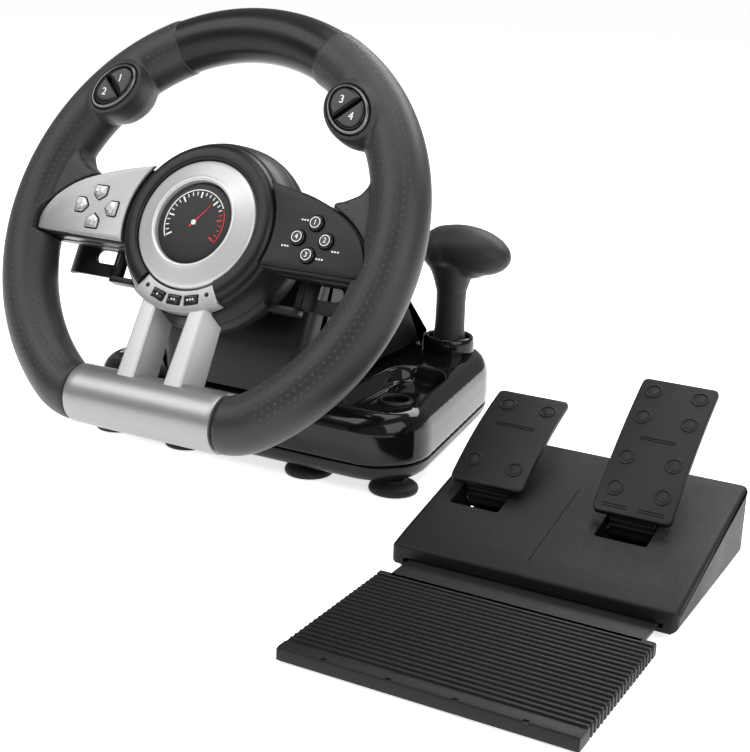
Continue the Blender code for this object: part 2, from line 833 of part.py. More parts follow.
def paddle(side, word, axis):
    """A shift paddle on its pin, with two slots near the hub."""
    pivot, depth = PADDLE_PIVOT
    hinge = empty("paddle_" + word + "_hinge", axis, (side * pivot, 0, depth))
    reach = PADDLE_REACH
    outline = [
        (-2 * MM, -2 * MM),
        (8 * MM, -6.6 * MM),
        (reach - 9 * MM, -6.6 * MM),
        (reach - 1 * MM, -11 * MM),
        (reach, -8.4 * MM),
        (reach - 8 * MM, -3.6 * MM),
        (8 * MM, -3.6 * MM),
        (1 * MM, 2 * MM),
    ]
    name = "paddle_" + word
    turn = (math.pi / 2, 0, 0)
    made = plate(name, mirrored(outline, side), -PADDLE_TOP, -PADDLE_LOW, hinge, "black", (0, 0, 0), turn)
    join(made, rod(name + "_knuckle", KNUCKLE_RADIUS, -PADDLE_TOP, -PADDLE_LOW, hinge, None, 16, (0, 0, 0), turn))
    pin = (-PADDLE_TOP - 2 * MM, -PADDLE_LOW + 3 * MM)
    join(made, rod(name + "_pin", PIN_RADIUS, pin[0], pin[1], hinge, None, 12, (0, 0, 0), turn))
    ends = sorted((side * 9 * MM, side * (reach - 20 * MM)))
    for i, (low, high) in enumerate(((-11.5 * MM, -8.3 * MM), (-24 * MM, -15.5 * MM))):
        slot = box(name + "_slot_" + str(i), (ends[0], low, -20 * MM), (ends[1], high, 20 * MM), hinge)
        cut(made, slot)


# Column and base


def axis_point(v, w):
    """The (y, z) of a point in the steering axis's own frame, on the middle plane."""
    y = v * math.sin(TILT) - w * math.cos(TILT)
    return y, HUB_HEIGHT + v * math.cos(TILT) + w * math.sin(TILT)


def column_profile(inset, face):
    """The column's side view, counter-clockwise in (y, z)."""
    low = axis_point(-COLUMN_HALF_HEIGHT + inset, COLUMN_FACE - face)
    high = axis_point(COLUMN_HALF_HEIGHT - inset, COLUMN_FACE - face)
    end = axis_point(COLUMN_HALF_HEIGHT - inset, COLUMN_END + inset)
    foot = BASE_TOP + GAP if not inset else BASE_TOP - 20 * MM
    front = BASE_FRONT + inset
    return [(front, foot), (COLUMN_FOOT_REAR - inset, foot), end, high, low]


def column(unit, axis):
    """The hollow housing that carries the steering shaft."""
    turn = (math.pi / 2, 0, math.pi / 2)
    half = COLUMN_HALF
    made = plate("column_shell", column_profile(0.0, 0.0), -half, half, unit, "black", (0, 0, 0), turn)
    round_edges(made, 7 * MM, 3)
    inside = half - COLUMN_WALL
    hollow = plate("column_hollow", column_profile(COLUMN_WALL, FACE_WALL), -inside, inside, unit, None, (0, 0, 0), turn)
    web = box("column_web", (-80 * MM, -80 * MM, WEB_BACK), (80 * MM, 80 * MM, WEB_FRONT), axis)
    cut(hollow, web)
    cut(made, hollow)
    bore = BEARING_RADIUS + GAP / 2
    cut(made, rod("column_bore", bore, WEB_BACK - 4 * MM, -30 * MM, axis, None, 32))
    for name, front in (("front_bearing", COLUMN_FACE - 0.3 * MM), ("rear_bearing", WEB_FRONT - 0.3 * MM)):
        back = front - BEARING_LENGTH
        inner = SHAFT_RADIUS + GAP / 2
        ring = [(inner, front), (BEARING_RADIUS, front), (BEARING_RADIUS, back), (inner, back)]
        turned(name, ring, axis, "steel", 24)
    return made


def gear_outline(radius, teeth):
    """A spur gear's outline with plain teeth."""
    points = []
    for i in range(teeth):
        start = 2 * math.pi * i / teeth
        pitch = 2 * math.pi / teeth
        for share, reach in ((0.0, radius - 1.8 * MM), (0.3, radius - 1.8 * MM), (0.42, radius), (0.88, radius)):
            angle = start + pitch * share
            points.append((reach * math.cos(angle), reach * math.sin(angle)))
    return points


def shaft(axis):
    """The steering shaft with its flange and gear."""
    seat = HUB_BACK + 9 * MM + GAP
    end = WEB_BACK - 4 * MM
    profile = [
        (0, seat + 3 * MM),
        (SHAFT_RADIUS + 6 * MM, seat + 3 * MM),
        (SHAFT_RADIUS + 6 * MM, seat),
        (SHAFT_RADIUS, seat),
        (SHAFT_RADIUS, end),
        (0, end),
    ]
    made = turned("steering_shaft", profile, axis, "steel", 24)
    gear = plate("steering_gear", gear_outline(GEAR_RADIUS, 24), GEAR_FRONT - GEAR_WIDTH, GEAR_FRONT, axis)
    return join(made, gear)


def sensor(axis):
    """The position sensor on the column's web, and its gear."""
    place = GEAR_RADIUS + PINION_RADIUS + 0.5 * MM
    spin = empty("sensor_axis", axis, (place, 0, 0))
    gear = plate("sensor_gear", gear_outline(PINION_RADIUS, 10), GEAR_FRONT - GEAR_WIDTH, GEAR_FRONT, spin, "black")
    stub = rod("sensor_stub", 2 * MM, WEB_FRONT + 4 * MM, GEAR_FRONT - 1 * MM, spin, None, 12)
    join(gear, stub)
    top = GEAR_FRONT - GEAR_WIDTH - 0.5 * MM
    profile = [
        (2.4 * MM, top),
        (8 * MM, top),
        (8 * MM, WEB_FRONT + 0.3 * MM),
        (2.4 * MM, WEB_FRONT + 0.3 * MM),
    ]
    turned("steering_sensor", profile, axis, "gloss", 20, (place, 0, 0))


def narrowing(y):
    """The share by which the base has drawn in at this depth."""
    return BASE_TAPER * (y - BASE_FRONT) / (BASE_REAR - BASE_FRONT)


def base_ring(height, inset):
    points = rounded(BASE_HALF, BASE_FRONT, BASE_REAR, BASE_CORNER)
    points = [(x * (1 - narrowing(y)), y) for x, y in points]
    return [(x, y, height) for x, y in grown(points, -inset)]


def pocket_spot(x, y):
    """A point of the right pocket, straight beside the column and drawn in with the base's side."""
    share = (x - POCKET_X[0]) / (POCKET_X[1] - POCKET_X[0])
    return (x - share * POCKET_X[1] * narrowing(y), y)


def base_top(unit):
    """The glossy top shell, with a pocket in each pod and the lever's opening."""
    rows = (
        (BASE_SEAM + GAP / 2, 0.5 * MM),
        (BASE_SEAM + 8 * MM, 0),
        (BASE_TOP - 12 * MM, 0.5 * MM),
        (BASE_TOP - 5 * MM, 3 * MM),
        (BASE_TOP - 1.2 * MM, 7 * MM),
        (BASE_TOP, 12 * MM),
    )
    made = loft("base_top_shell", [base_ring(*row) for row in rows], unit, "gloss")
    under = BASE_TOP - POCKET_DEPTH - BASE_WALL
    hollow_rows = ((BASE_SEAM - 10 * MM, BASE_WALL), (under - 4 * MM, BASE_WALL), (under, 8 * MM))
    cut(made, loft("base_hollow", [base_ring(*row) for row in hollow_rows], unit))
    for side, word in ((-1, "left"), (1, "right")):
        middle = (POCKET_X[0] + POCKET_X[1]) / 2
        half = (POCKET_X[1] - POCKET_X[0]) / 2
        rings = []
        for height, extra in ((BASE_TOP - POCKET_DEPTH, -2 * MM), (BASE_TOP - 3 * MM, 0), (BASE_TOP + 9 * MM, 6 * MM)):
            shape = grown(rounded(half, POCKET_Y[0], POCKET_Y[1], 12 * MM, 4), extra)
            shape = mirrored([pocket_spot(middle + x, y) for x, y in shape], side)
            rings.append([(x, y, height) for x, y in shape])
        cut(made, loft("pocket_" + word, rings, unit))
        x, y = pocket_spot(middle, (POCKET_Y[0] + POCKET_Y[1]) / 2)
        spot = (side * x, y, 0)
        cut(made, rod("socket_" + word, SOCKET_RADIUS, BASE_SEAM, 90 * MM, unit, None, 20, spot))
    cut(made, rod("lever_opening", BALL_RADIUS + 0.8 * MM, 0, 90 * MM, unit, None, 28, (*LEVER_PLACE, 0)))
    low = (-12 * MM, BASE_REAR - 10 * MM, BASE_SEAM + 3 * MM)
    high = (12 * MM, BASE_REAR + 10 * MM, BASE_SEAM + 13 * MM)
    cut(made, box("socket_opening", low, high, unit))
    return made


def base_bottom(unit):
    """The bottom cover, with a hole for each suction cup's stub."""
    rows = (
        (BASE_UNDER, 7 * MM),
        (BASE_UNDER + 3 * MM, 2.4 * MM),
        (BASE_SEAM - GAP / 2, 0.5 * MM),
    )
    made = loft("base_bottom_cover", [base_ring(*row) for row in rows], unit, "black")
    inner = ((BASE_UNDER + 4 * MM, 12 * MM), (BASE_SEAM + 6 * MM, 12 * MM))
    hollow = loft("cover_hollow", [base_ring(*row) for row in inner], unit)
    for number, (x, y) in enumerate(cup_places()):
        boss = rod("cover_boss_" + str(number), CUP_STUB + 4 * MM, 0, 60 * MM, unit, None, 16, (x, y, 0))
        cut(hollow, boss)
    cut(made, hollow)
    for number, (x, y) in enumerate(cup_places()):
        cut(made, rod("cup_hole_" + str(number), CUP_STUB + GAP, 0, 60 * MM, unit, None, 16, (x, y, 0)))
    return made


def cup_places():
    return [(side * x, y) for x, y in CUP_PLACES for side in (-1, 1)]


def cups(unit):
    """The six suction cups."""
    names = ("front_left", "front_right", "inner_left", "inner_right", "rear_left", "rear_right")
    neck = BASE_UNDER - 0.3 * MM
    radius = CUP_RADIUS
    profile = [
        (0, BASE_SEAM - 1 * MM),
        (CUP_STUB, BASE_SEAM - 1 * MM),
        (CUP_STUB, neck),
        (radius - 8 * MM, neck),
        (radius - 8 * MM, neck - 1.4 * MM),
        (radius - 4 * MM, neck - 2.5 * MM),
        (radius - 0.4 * MM, 3.6 * MM),
        (radius, 1.4 * MM),
        (radius - 0.8 * MM, 0),
        (radius - 3 * MM, 0),
        (radius - 6 * MM, 2 * MM),
        (0, 3 * MM),
    ]
    for word, (x, y) in zip(names, cup_places()):
        turned("suction_cup_" + word, profile, unit, "rubber", 16, (x, y, 0))


def rear_socket(unit):
    """The socket block in the rear wall, for the cords."""
    low = (-12 * MM + GAP, BASE_REAR - 9 * MM, BASE_SEAM + 3 * MM + GAP)
    high = (12 * MM - GAP, BASE_REAR + 0.6 * MM, BASE_SEAM + 13 * MM - GAP)
    made = box("rear_socket", low, high, unit, "black")
    for x in (-6 * MM, 6 * MM):
        inner = (x - 4 * MM, BASE_REAR - 6 * MM, BASE_SEAM + 5.4 * MM)
        outer = (x + 4 * MM, BASE_REAR + 10 * MM, BASE_SEAM + 10.6 * MM)
        cut(made, box("socket_mouth_" + ("a" if x < 0 else "b"), inner, outer, unit))


def gear_lever(unit):
    """The lever in its ball seat, the knob on it and the collar round it."""
    pivot = empty("gear_lever_pivot", unit, (*LEVER_PLACE, LEVER_PIVOT))
    waist = STEM_WAIST
    profile = [(0, LEVER_TOP), (waist - 2.4 * MM, LEVER_TOP), (waist - 2.4 * MM, LEVER_TOP - 8 * MM)]
    profile += [(waist, LEVER_TOP - 8 * MM), (waist - 0.6 * MM, 24 * MM), (waist, 9.5 * MM)]
    start = math.asin(min(1.0, 8.2 * MM / BALL_RADIUS))
    profile += arc(BALL_RADIUS, start, math.radians(-70), 9)
    profile += [(3 * MM, -BALL_RADIUS - 1 * MM), (3 * MM, -20 * MM), (0, -20 * MM)]
    turned("gear_lever", profile, pivot, "rubber", 20)
    shape = bmesh.new()
    place = Matrix.Translation((*KNOB_SHIFT, KNOB_CENTRE)) @ Matrix.Diagonal((*KNOB_SIZE, 1))
    bmesh.ops.create_uvsphere(shape, u_segments=20, v_segments=12, radius=1, matrix=place)
    knob = finish("lever_knob", bake("lever_knob", shape), pivot, (0, 0, 0), (0, 0, 0), "rubber")
    neck = [
        (0, KNOB_CENTRE),
        (waist + 3 * MM, KNOB_CENTRE - 8 * MM),
        (waist, LEVER_TOP - 8 * MM + GAP),
        (0, LEVER_TOP - 8 * MM + GAP),
    ]
    join(knob, turned("knob_neck", neck, pivot, None, 24))
    cut(knob, rod("knob_bore", waist - 2.4 * MM + GAP, 0, LEVER_TOP + GAP, pivot, None, 24))
    foot = BASE_TOP + 0.3 * MM
    inner = BALL_RADIUS + 0.8 * MM
    ring = [
        (COLLAR_RADIUS, foot),
        (COLLAR_RADIUS - 0.4 * MM, foot + COLLAR_HEIGHT - 3 * MM),
        (COLLAR_RADIUS - 2 * MM, foot + COLLAR_HEIGHT - 0.6 * MM),
        (inner + 1 * MM, foot + COLLAR_HEIGHT),
        (inner, foot + COLLAR_HEIGHT - 1 * MM),
        (inner, foot),
    ]
    turned("lever_collar", ring, unit, "gloss", 32, (*LEVER_PLACE, 0))


# Pedal unit


def wedge(inset, foot):
    """The pedal box's side view, counter-clockwise in (y, z)."""
    lip = PEDAL_LIP - inset
    crease = (14 * MM, PEDAL_LIP + 4 * MM - inset)
    return [
        (inset, foot),
        (PEDAL_DEPTH - inset, foot),
        (PEDAL_DEPTH - inset, PEDAL_REAR_HEIGHT - inset),
        crease,
        (inset, lip),
    ]


def pedal_box(unit):
    """The wedge-shaped cover, its floor plate, the axle and the feet."""
    turn = (math.pi / 2, 0, math.pi / 2)
    half = PEDAL_HALF
    seam = PEDAL_FLOOR + FLOOR_PLATE + 0.3 * MM
    rings = []
    for x, inset in ((-half, PEDAL_EDGE), (PEDAL_EDGE - half, 0), (half - PEDAL_EDGE, 0), (half, PEDAL_EDGE)):
        rings.append([(x, y, z) for y, z in wedge(inset, seam)])
    made = loft("pedal_box_top", rings, unit, "pedal")
    inside = half - PEDAL_WALL
    cut(made, plate("pedal_hollow", wedge(PEDAL_WALL, -20 * MM), -inside, inside, unit, None, (0, 0, 0), turn))
    mouth = TONGUE_HALF + 1 * MM
    tongue_top = tongue_base() + TONGUE_THICKNESS
    cut(made, box("tongue_mouth", (-mouth, -20 * MM, -20 * MM), (mouth, 12 * MM, tongue_top + 0.5 * MM), unit))
    for x, word in ((BRAKE_X, "brake"), (THROTTLE_X, "throttle")):
        reach = PEDAL_ARM_WIDTH / 2 + SLOT_MARGIN
        low = (x - reach, AXLE_PLACE[0] - 24 * MM, PEDAL_LIP + 5 * MM)
        high = (x + reach, AXLE_PLACE[0] + 30 * MM, PEDAL_REAR_HEIGHT + 30 * MM)
        cut(made, box(word + "_slot", low, high, unit))
    floor_low = (-half + 4 * MM, 4 * MM, PEDAL_FLOOR)
    floor_high = (half - 4 * MM, PEDAL_DEPTH - 4 * MM, PEDAL_FLOOR + FLOOR_PLATE)
    floor = box("pedal_box_bottom", floor_low, floor_high, unit, "pedal")
    axle_y, axle_z = AXLE_PLACE
    for number, x in enumerate(support_places()):
        low = (x - 3 * MM, axle_y - 5 * MM, PEDAL_FLOOR + 1 * MM)
        high = (x + 3 * MM, axle_y + 5 * MM, axle_z + AXLE_RADIUS + 2 * MM)
        join(floor, box("axle_post_" + str(number), low, high, unit))
    across = (0, math.pi / 2, 0)
    bore = AXLE_RADIUS + 0.3 * MM
    spot = (0, axle_y, axle_z)
    cut(floor, rod("post_bore", bore, -half, half, unit, None, 20, spot, across))
    length = half - 8 * MM
    rod("pedal_axle", AXLE_RADIUS, -length, length, unit, "steel", 20, spot, across)
    for x, side in ((-1, "left"), (1, "right")):
        for y, end in ((16 * MM, "front"), (PEDAL_DEPTH - 16 * MM, "rear")):
            name = "pedal_foot_" + end + "_" + side
            place = (x * (half - 16 * MM), y, 0)
            rod(name, FOOT_RADIUS, 0, PEDAL_FLOOR - 0.3 * MM, unit, "rubber", 14, place)


def support_places():
    """Posts on both sides of each pedal arm."""
    reach = PEDAL_ARM_WIDTH / 2 + 4 * MM
    return [x + side * reach for x in (BRAKE_X, THROTTLE_X) for side in (-1, 1)]


def pad_profile(length, slope):
    """A slightly bowed pad in side view, from its foot up, in (y, z) round the axle."""
    count = 7
    top = []
    under = []
    along = Vector((math.cos(slope), math.sin(slope)))
    face = Vector((-along.y, along.x))
    for i in range(count):
        share = i / (count - 1)
        bow = PAD_BOW * (1 - (2 * share - 1) ** 2)
        spot = Vector(PAD_FOOT) + along * (length * share)
        top.append(tuple(spot + face * bow))
        under.append(tuple(spot + face * (bow - PAD_THICKNESS)))
    return under + top[::-1]


def pedal(word, x, length, slope, unit):
    """A pedal: the pad, the wide arm under it, the hub on the axle and the spring horn."""
    axle = empty(word + "_axle", unit, (x, *AXLE_PLACE))
    turn = (math.pi / 2, 0, math.pi / 2)
    half = PAD_WIDTH / 2
    name = word + "_pedal"
    made = plate(name, pad_profile(length, slope), -half, half, axle, "pedal", (0, 0, 0), turn)
    along = Vector((math.cos(slope), math.sin(slope)))
    face = Vector((-along.y, along.x))
    start = Vector(PAD_FOOT) + along * (8 * MM) - face * (PAD_THICKNESS * 0.6)
    finish_at = Vector(PAD_FOOT) + along * (length * 0.5) - face * (PAD_THICKNESS * 0.3)
    arm = [
        (-7 * MM, -2 * MM),
        (0, -8 * MM),
        (SPRING_PLACE + 7 * MM, -6.5 * MM),
        (SPRING_PLACE + 7 * MM, -2.5 * MM),
        (12 * MM, 2 * MM),
        tuple(finish_at),
        tuple(start),
    ]
    width = PEDAL_ARM_WIDTH / 2
    join(made, plate(name + "_arm", arm, -width, width, axle, None, (0, 0, 0), turn))
    across = (0, math.pi / 2, 0)
    join(made, rod(name + "_hub", 7.6 * MM, -width, width, axle, None, 20, (0, 0, 0), across))
    cut(made, rod(name + "_bore", AXLE_RADIUS + 0.3 * MM, -40 * MM, 40 * MM, axle, None, 20, (0, 0, 0), across))


def spring(word, x, unit):
    """A compression spring under a pedal's horn."""
    low = PEDAL_FLOOR + FLOOR_PLATE + SPRING_WIRE + 0.3 * MM
    high = AXLE_PLACE[1] - 6.5 * MM - SPRING_WIRE - 0.4 * MM
    turns = 3
    count = turns * 8
    points = []
    for i in range(count + 1):
        angle = 2 * math.pi * turns * i / count
        height = low + (high - low) * i / count
        spot = (SPRING_RADIUS * math.cos(angle), SPRING_RADIUS * math.sin(angle), height)
        points.append(spot)
    place = (x, AXLE_PLACE[0] + SPRING_PLACE, 0)
    tube(word + "_spring", points, SPRING_WIRE, unit, "steel", 6, place)


def tongue_base():
    return PEDAL_FLOOR + FLOOR_PLATE + 0.4 * MM


def footrest(unit):
    """The ribbed heel rest, whose tongue slides into the box's front."""
    rear = -TONGUE_SHOWN
    front = rear - REST_DEPTH
    deck = REST_TOP - 1.6 * MM
    made = box("footrest", (-REST_HALF, front, REST_UNDER), (REST_HALF, rear, deck), unit, "pedal")
    low = (-TONGUE_HALF, rear - 4 * MM, tongue_base())
    high = (TONGUE_HALF, TONGUE_INSIDE, tongue_base() + TONGUE_THICKNESS)
    join(made, box("footrest_tongue", low, high, unit))
    start = front + 12 * MM
    pitch = (rear - 6 * MM - start) / REST_RIBS
    edge = REST_HALF - 1.5 * MM
    for i in range(REST_RIBS):
        y = start + pitch * i
        low = (-edge, y, deck - 1 * MM)
        high = (edge, y + pitch * 0.55, REST_TOP)
        join(made, box("footrest_rib_" + str(i), low, high, unit))


def settle(root):
    """Moves the whole object so that the middle of its underside is the origin."""
    bpy.context.view_layer.update()
    graph = bpy.context.evaluated_depsgraph_get()
    corners = []
    for made in parts.objects:
        if made.type != "MESH":
            continue
        solid = made.evaluated_get(graph)
        mesh = solid.to_mesh()
        corners += [solid.matrix_world @ v.co for v in mesh.vertices]
        solid.to_mesh_clear()
    low = [min(c[i] for c in corners) for i in range(3)]
    high = [max(c[i] for c in corners) for i in range(3)]
    root.location = (-(low[0] + high[0]) / 2, -(low[1] + high[1]) / 2, -low[2])
    bpy.context.view_layer.update()


def build():
    root = empty("racing_wheel_root")
    unit = empty("wheel_unit", root)
    axis = empty("steering_axis", unit, (0, 0, HUB_HEIGHT), (math.pi / 2 - TILT, 0, 0))
    grip("grip_left", -1, axis)
    grip("grip_right", 1, axis)
    top = square_ends(RIM_RADIUS, TOP_JOINT, math.pi - TOP_JOINT, 13)
    tube("rim_top", [(x, y, 0) for x, y in top], TOP_TUBE, axis, "black", 16)
    bottom_bar(axis)
    hub_front(axis)
    hub_rear(axis)
    hub_trim(axis)
    board(axis)
    panels(axis)
    buttons(axis)
    shaft(axis)
    sensor(axis)
    for side, word in ((-1, "left"), (1, "right")):
        thumb_pieces(side, word, axis)
        paddle(side, word, axis)
    column(unit, axis)
    base_top(unit)
    base_bottom(unit)
    cups(unit)
    rear_socket(unit)
    gear_lever(unit)
    pedals = empty("pedal_unit", root, (*PEDAL_PLACE, 0))
    pedal_box(pedals)
    pedal("brake", BRAKE_X, BRAKE_LENGTH, BRAKE_SLOPE, pedals)
    pedal("throttle", THROTTLE_X, THROTTLE_LENGTH, THROTTLE_SLOPE, pedals)
    spring("brake", BRAKE_X, pedals)
    spring("throttle", THROTTLE_X, pedals)
    footrest(pedals)
    settle(root)


build()
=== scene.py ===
"""Looks for the racing wheel set: fine shapes, materials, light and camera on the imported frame."""

import json
import math

import bmesh
import bpy
import numpy as np
from mathutils import Matrix, Vector


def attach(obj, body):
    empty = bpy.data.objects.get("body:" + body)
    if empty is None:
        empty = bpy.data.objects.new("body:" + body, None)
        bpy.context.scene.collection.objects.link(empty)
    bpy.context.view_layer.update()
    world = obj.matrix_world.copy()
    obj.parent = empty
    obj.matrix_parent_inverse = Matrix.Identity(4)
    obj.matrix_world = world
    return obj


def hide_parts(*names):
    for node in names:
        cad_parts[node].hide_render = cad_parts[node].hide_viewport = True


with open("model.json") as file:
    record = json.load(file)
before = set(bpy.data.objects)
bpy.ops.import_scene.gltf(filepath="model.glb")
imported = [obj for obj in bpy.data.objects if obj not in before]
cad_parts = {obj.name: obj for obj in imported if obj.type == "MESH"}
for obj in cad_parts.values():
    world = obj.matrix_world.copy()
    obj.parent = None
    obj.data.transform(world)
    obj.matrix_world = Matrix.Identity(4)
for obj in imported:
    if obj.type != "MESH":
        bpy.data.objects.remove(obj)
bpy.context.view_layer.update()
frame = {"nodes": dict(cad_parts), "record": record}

MM = 0.001
TILT = math.radians(29)
HUB_HEIGHT = 150

# The rim, from the hub's centre
RIM = 120.0
GRIP = 16.5
TOP_TUBE = 15.6
BAR = 17.0
DROP = 105.0
BLEND = 30.0
HALF = math.sqrt((RIM - BLEND) ** 2 - (DROP - BLEND) ** 2)
BLEND_ANGLE = -math.atan2(DROP - BLEND, HALF)
POD_ANGLE = math.radians(42.7)
POD_TURN = POD_ANGLE - math.pi / 2
POD = (107.6 * math.cos(POD_ANGLE), 107.6 * math.sin(POD_ANGLE))
PANEL_LOW = -16.5
KEY_HALF, KEY_TIP = 4.3, -1.1

# The base, from the point on the floor below the hub
BASE_HALF, BASE_FRONT, BASE_REAR = 122, 26, 215
TAPER = 0.22
POCKET_NEAR, POCKET_FAR = 62, 106
POCKET_FRONT, POCKET_REAR = 44, 130
CLAMP_HOLE = (80.2, 87)
COLUMN_HALF = 52
LEVER = (69.5, 182)

# The pedal unit, in its own larger frame
PEDAL_SCALE = 0.8
BOX_HALF, BOX_DEPTH = 95, 142.5
AXLE = (82.5, 27.5)
PAD_FOOT = Vector((-12.5, 15.5))
PAD_WIDTH, ARM_HALF = 52.5, 15
BRAKE_X, THROTTLE_X = -62.5, 38.75
REST_FRONT, REST_REAR, REST_HALF = -143.7, -22.5, 90

joints = {j["name"]: j for j in frame["record"]["behaviour"]["joints"]}
HUB = Vector(joints["steering_turn"]["pos_m"])
ROOT = HUB - Vector((0, 0, HUB_HEIGHT * MM))
PEDALS = ROOT + Vector((0.229, -0.052, 0))
SCALE = Matrix.Diagonal((MM, MM, MM, 1))
STEER = Matrix.Translation(HUB) @ Matrix.Rotation(math.pi / 2 - TILT, 4, "X") @ SCALE
BASE = Matrix.Translation(ROOT) @ SCALE
PEDAL = Matrix.Translation(PEDALS) @ Matrix.Diagonal((*[PEDAL_SCALE * MM] * 3, 1))
MIRROR = Matrix.Diagonal((-1, 1, 1, 1))
YZX = Matrix(((0, 0, 1, 0), (1, 0, 0, 0), (0, 1, 0, 0), (0, 0, 0, 1)))
XZY = Matrix(((1, 0, 0, 0), (0, 0, -1, 0), (0, 1, 0, 0), (0, 0, 0, 1)))

bpy.context.scene.view_settings.view_transform = "Standard"


# Materials


class Nodes:
    """A short way to wire a material."""

    def __init__(self, name, colour, rough, metallic=0.0, coat=0.0, specular=0.5):
        self.material = bpy.data.materials.new(name)
        self.material.use_nodes = True
        self.tree = self.material.node_tree
        self.shader = self.tree.nodes["Principled BSDF"]
        self.put("Base Color", (*colour, 1))
        self.put("Roughness", rough)
        self.put("Metallic", metallic)
        self.put("Coat Weight", coat)
        self.put("Specular IOR Level", specular)
        self.place = self.node("ShaderNodeTexCoord").outputs["Object"]

    def put(self, socket, value):
        self.shader.inputs[socket].default_value = value

    def node(self, kind, **values):
        made = self.tree.nodes.new(kind)
        for key, value in values.items():
            setattr(made, key, value)
        return made

    def link(self, a, b):
        self.tree.links.new(a, b)

    def noise(self, scale, detail=4.0, rough=0.55):
        made = self.node("ShaderNodeTexNoise")
        made.inputs["Scale"].default_value = scale
        made.inputs["Detail"].default_value = detail
        made.inputs["Roughness"].default_value = rough
        self.link(self.place, made.inputs["Vector"])
        return made.outputs["Fac"]

    def cells(self, scale, feature="F1"):
        made = self.node("ShaderNodeTexVoronoi", feature=feature)
        made.inputs["Scale"].default_value = scale
        self.link(self.place, made.inputs["Vector"])
        return made.outputs["Distance"]

    def span(self, value, low, high, to_low, to_high):
        made = self.node("ShaderNodeMapRange")
        limits = {"From Min": low, "From Max": high, "To Min": to_low, "To Max": to_high}
        for key, limit in limits.items():
            made.inputs[key].default_value = limit
        self.link(value, made.inputs["Value"])
        return made.outputs["Result"]

    def sum(self, kind, a, b):
        made = self.node("ShaderNodeMath", operation=kind)
        for socket, value in zip(made.inputs, (a, b)):
            if isinstance(value, (int, float)):
                socket.default_value = value
            else:
                self.link(value, socket)
        return made.outputs[0]

    def blend(self, fac, first, second):
        made = self.node("ShaderNodeMix", data_type="RGBA")
        self.link(fac, made.inputs["Factor"])
        for socket, value in ((made.inputs["A"], first), (made.inputs["B"], second)):
            if isinstance(value, tuple):
                socket.default_value = (*value, 1)
            else:
                self.link(value, socket)
        return made.outputs["Result"]

    def bump(self, height, distance, strength=1.0, after=None):
        made = self.node("ShaderNodeBump")
        made.inputs["Distance"].default_value = distance
        made.inputs["Strength"].default_value = strength
        self.link(height, made.inputs["Height"])
        if after is not None:
            self.link(after, made.inputs["Normal"])
        return made.outputs["Normal"]

    def finish(self, normal=None, rough=None, colour=None):
        for socket, value in (("Normal", normal), ("Roughness", rough), ("Base Color", colour)):
            if value is not None:
                self.link(value, self.shader.inputs[socket])
        return self.material


def shade(colour, factor):
    return tuple(min(1.0, c * factor) for c in colour)


def moulded(name, colour, rough, grain=900.0, depth=0.00006, vary=0.06):
    """Moulded plastic: fine spark grain, slow waves of roughness and a little colour drift."""
    m = Nodes(name, colour, rough, specular=0.24)
    slow = m.noise(22.0, 3.0)
    fine = m.noise(grain, 2.0, 0.6)
    pits = m.cells(grain * 0.8)
    height = m.sum("ADD", fine, m.sum("MULTIPLY", pits, 0.6))
    tint = m.span(m.sum("ADD", slow, m.sum("MULTIPLY", fine, 0.3)), 0.4, 0.9, 0, 1)
    colour_out = m.blend(tint, shade(colour, 0.84), shade(colour, 1.16))
    rough_out = m.span(slow, 0.3, 0.7, rough - vary, rough + vary)
    return m.finish(m.bump(height, depth, 0.6), rough_out, colour_out)


def polished(name, colour, rough=0.07):
    """Glossy injection-moulded plastic with faint haze and long soft ripples."""
    m = Nodes(name, colour, rough, 0.0, 0.1, 0.26)
    m.put("Coat Roughness", 0.06)
    slow = m.noise(16.0, 2.0)
    haze = m.noise(140.0, 5.0, 0.7)
    rough_out = m.span(haze, 0.35, 0.75, rough, rough + 0.09)
    tint = m.blend(slow, shade(colour, 0.8), shade(colour, 1.25))
    return m.finish(m.bump(slow, 0.0004, 0.25), rough_out, tint)


def satin_paint(name, colour, rough=0.3, metallic=0.82):
    """Silver paint: tiny flakes, faint streaks and orange peel."""
    m = Nodes(name, colour, rough, metallic, 0.25)
    m.put("Coat Roughness", 0.25)
    flakes = m.cells(5200.0)
    peel = m.noise(420.0, 2.0)
    slow = m.noise(30.0, 3.0)
    tint = m.blend(m.span(flakes, 0.1, 0.6, 0, 1), shade(colour, 1.12), shade(colour, 0.86))
    tint = m.blend(m.span(slow, 0.35, 0.7, 0, 0.35), tint, shade(colour, 0.9))
    rough_out = m.span(flakes, 0.0, 0.7, rough - 0.05, rough + 0.1)
    return m.finish(m.bump(peel, 0.00006, 0.35), rough_out, tint)


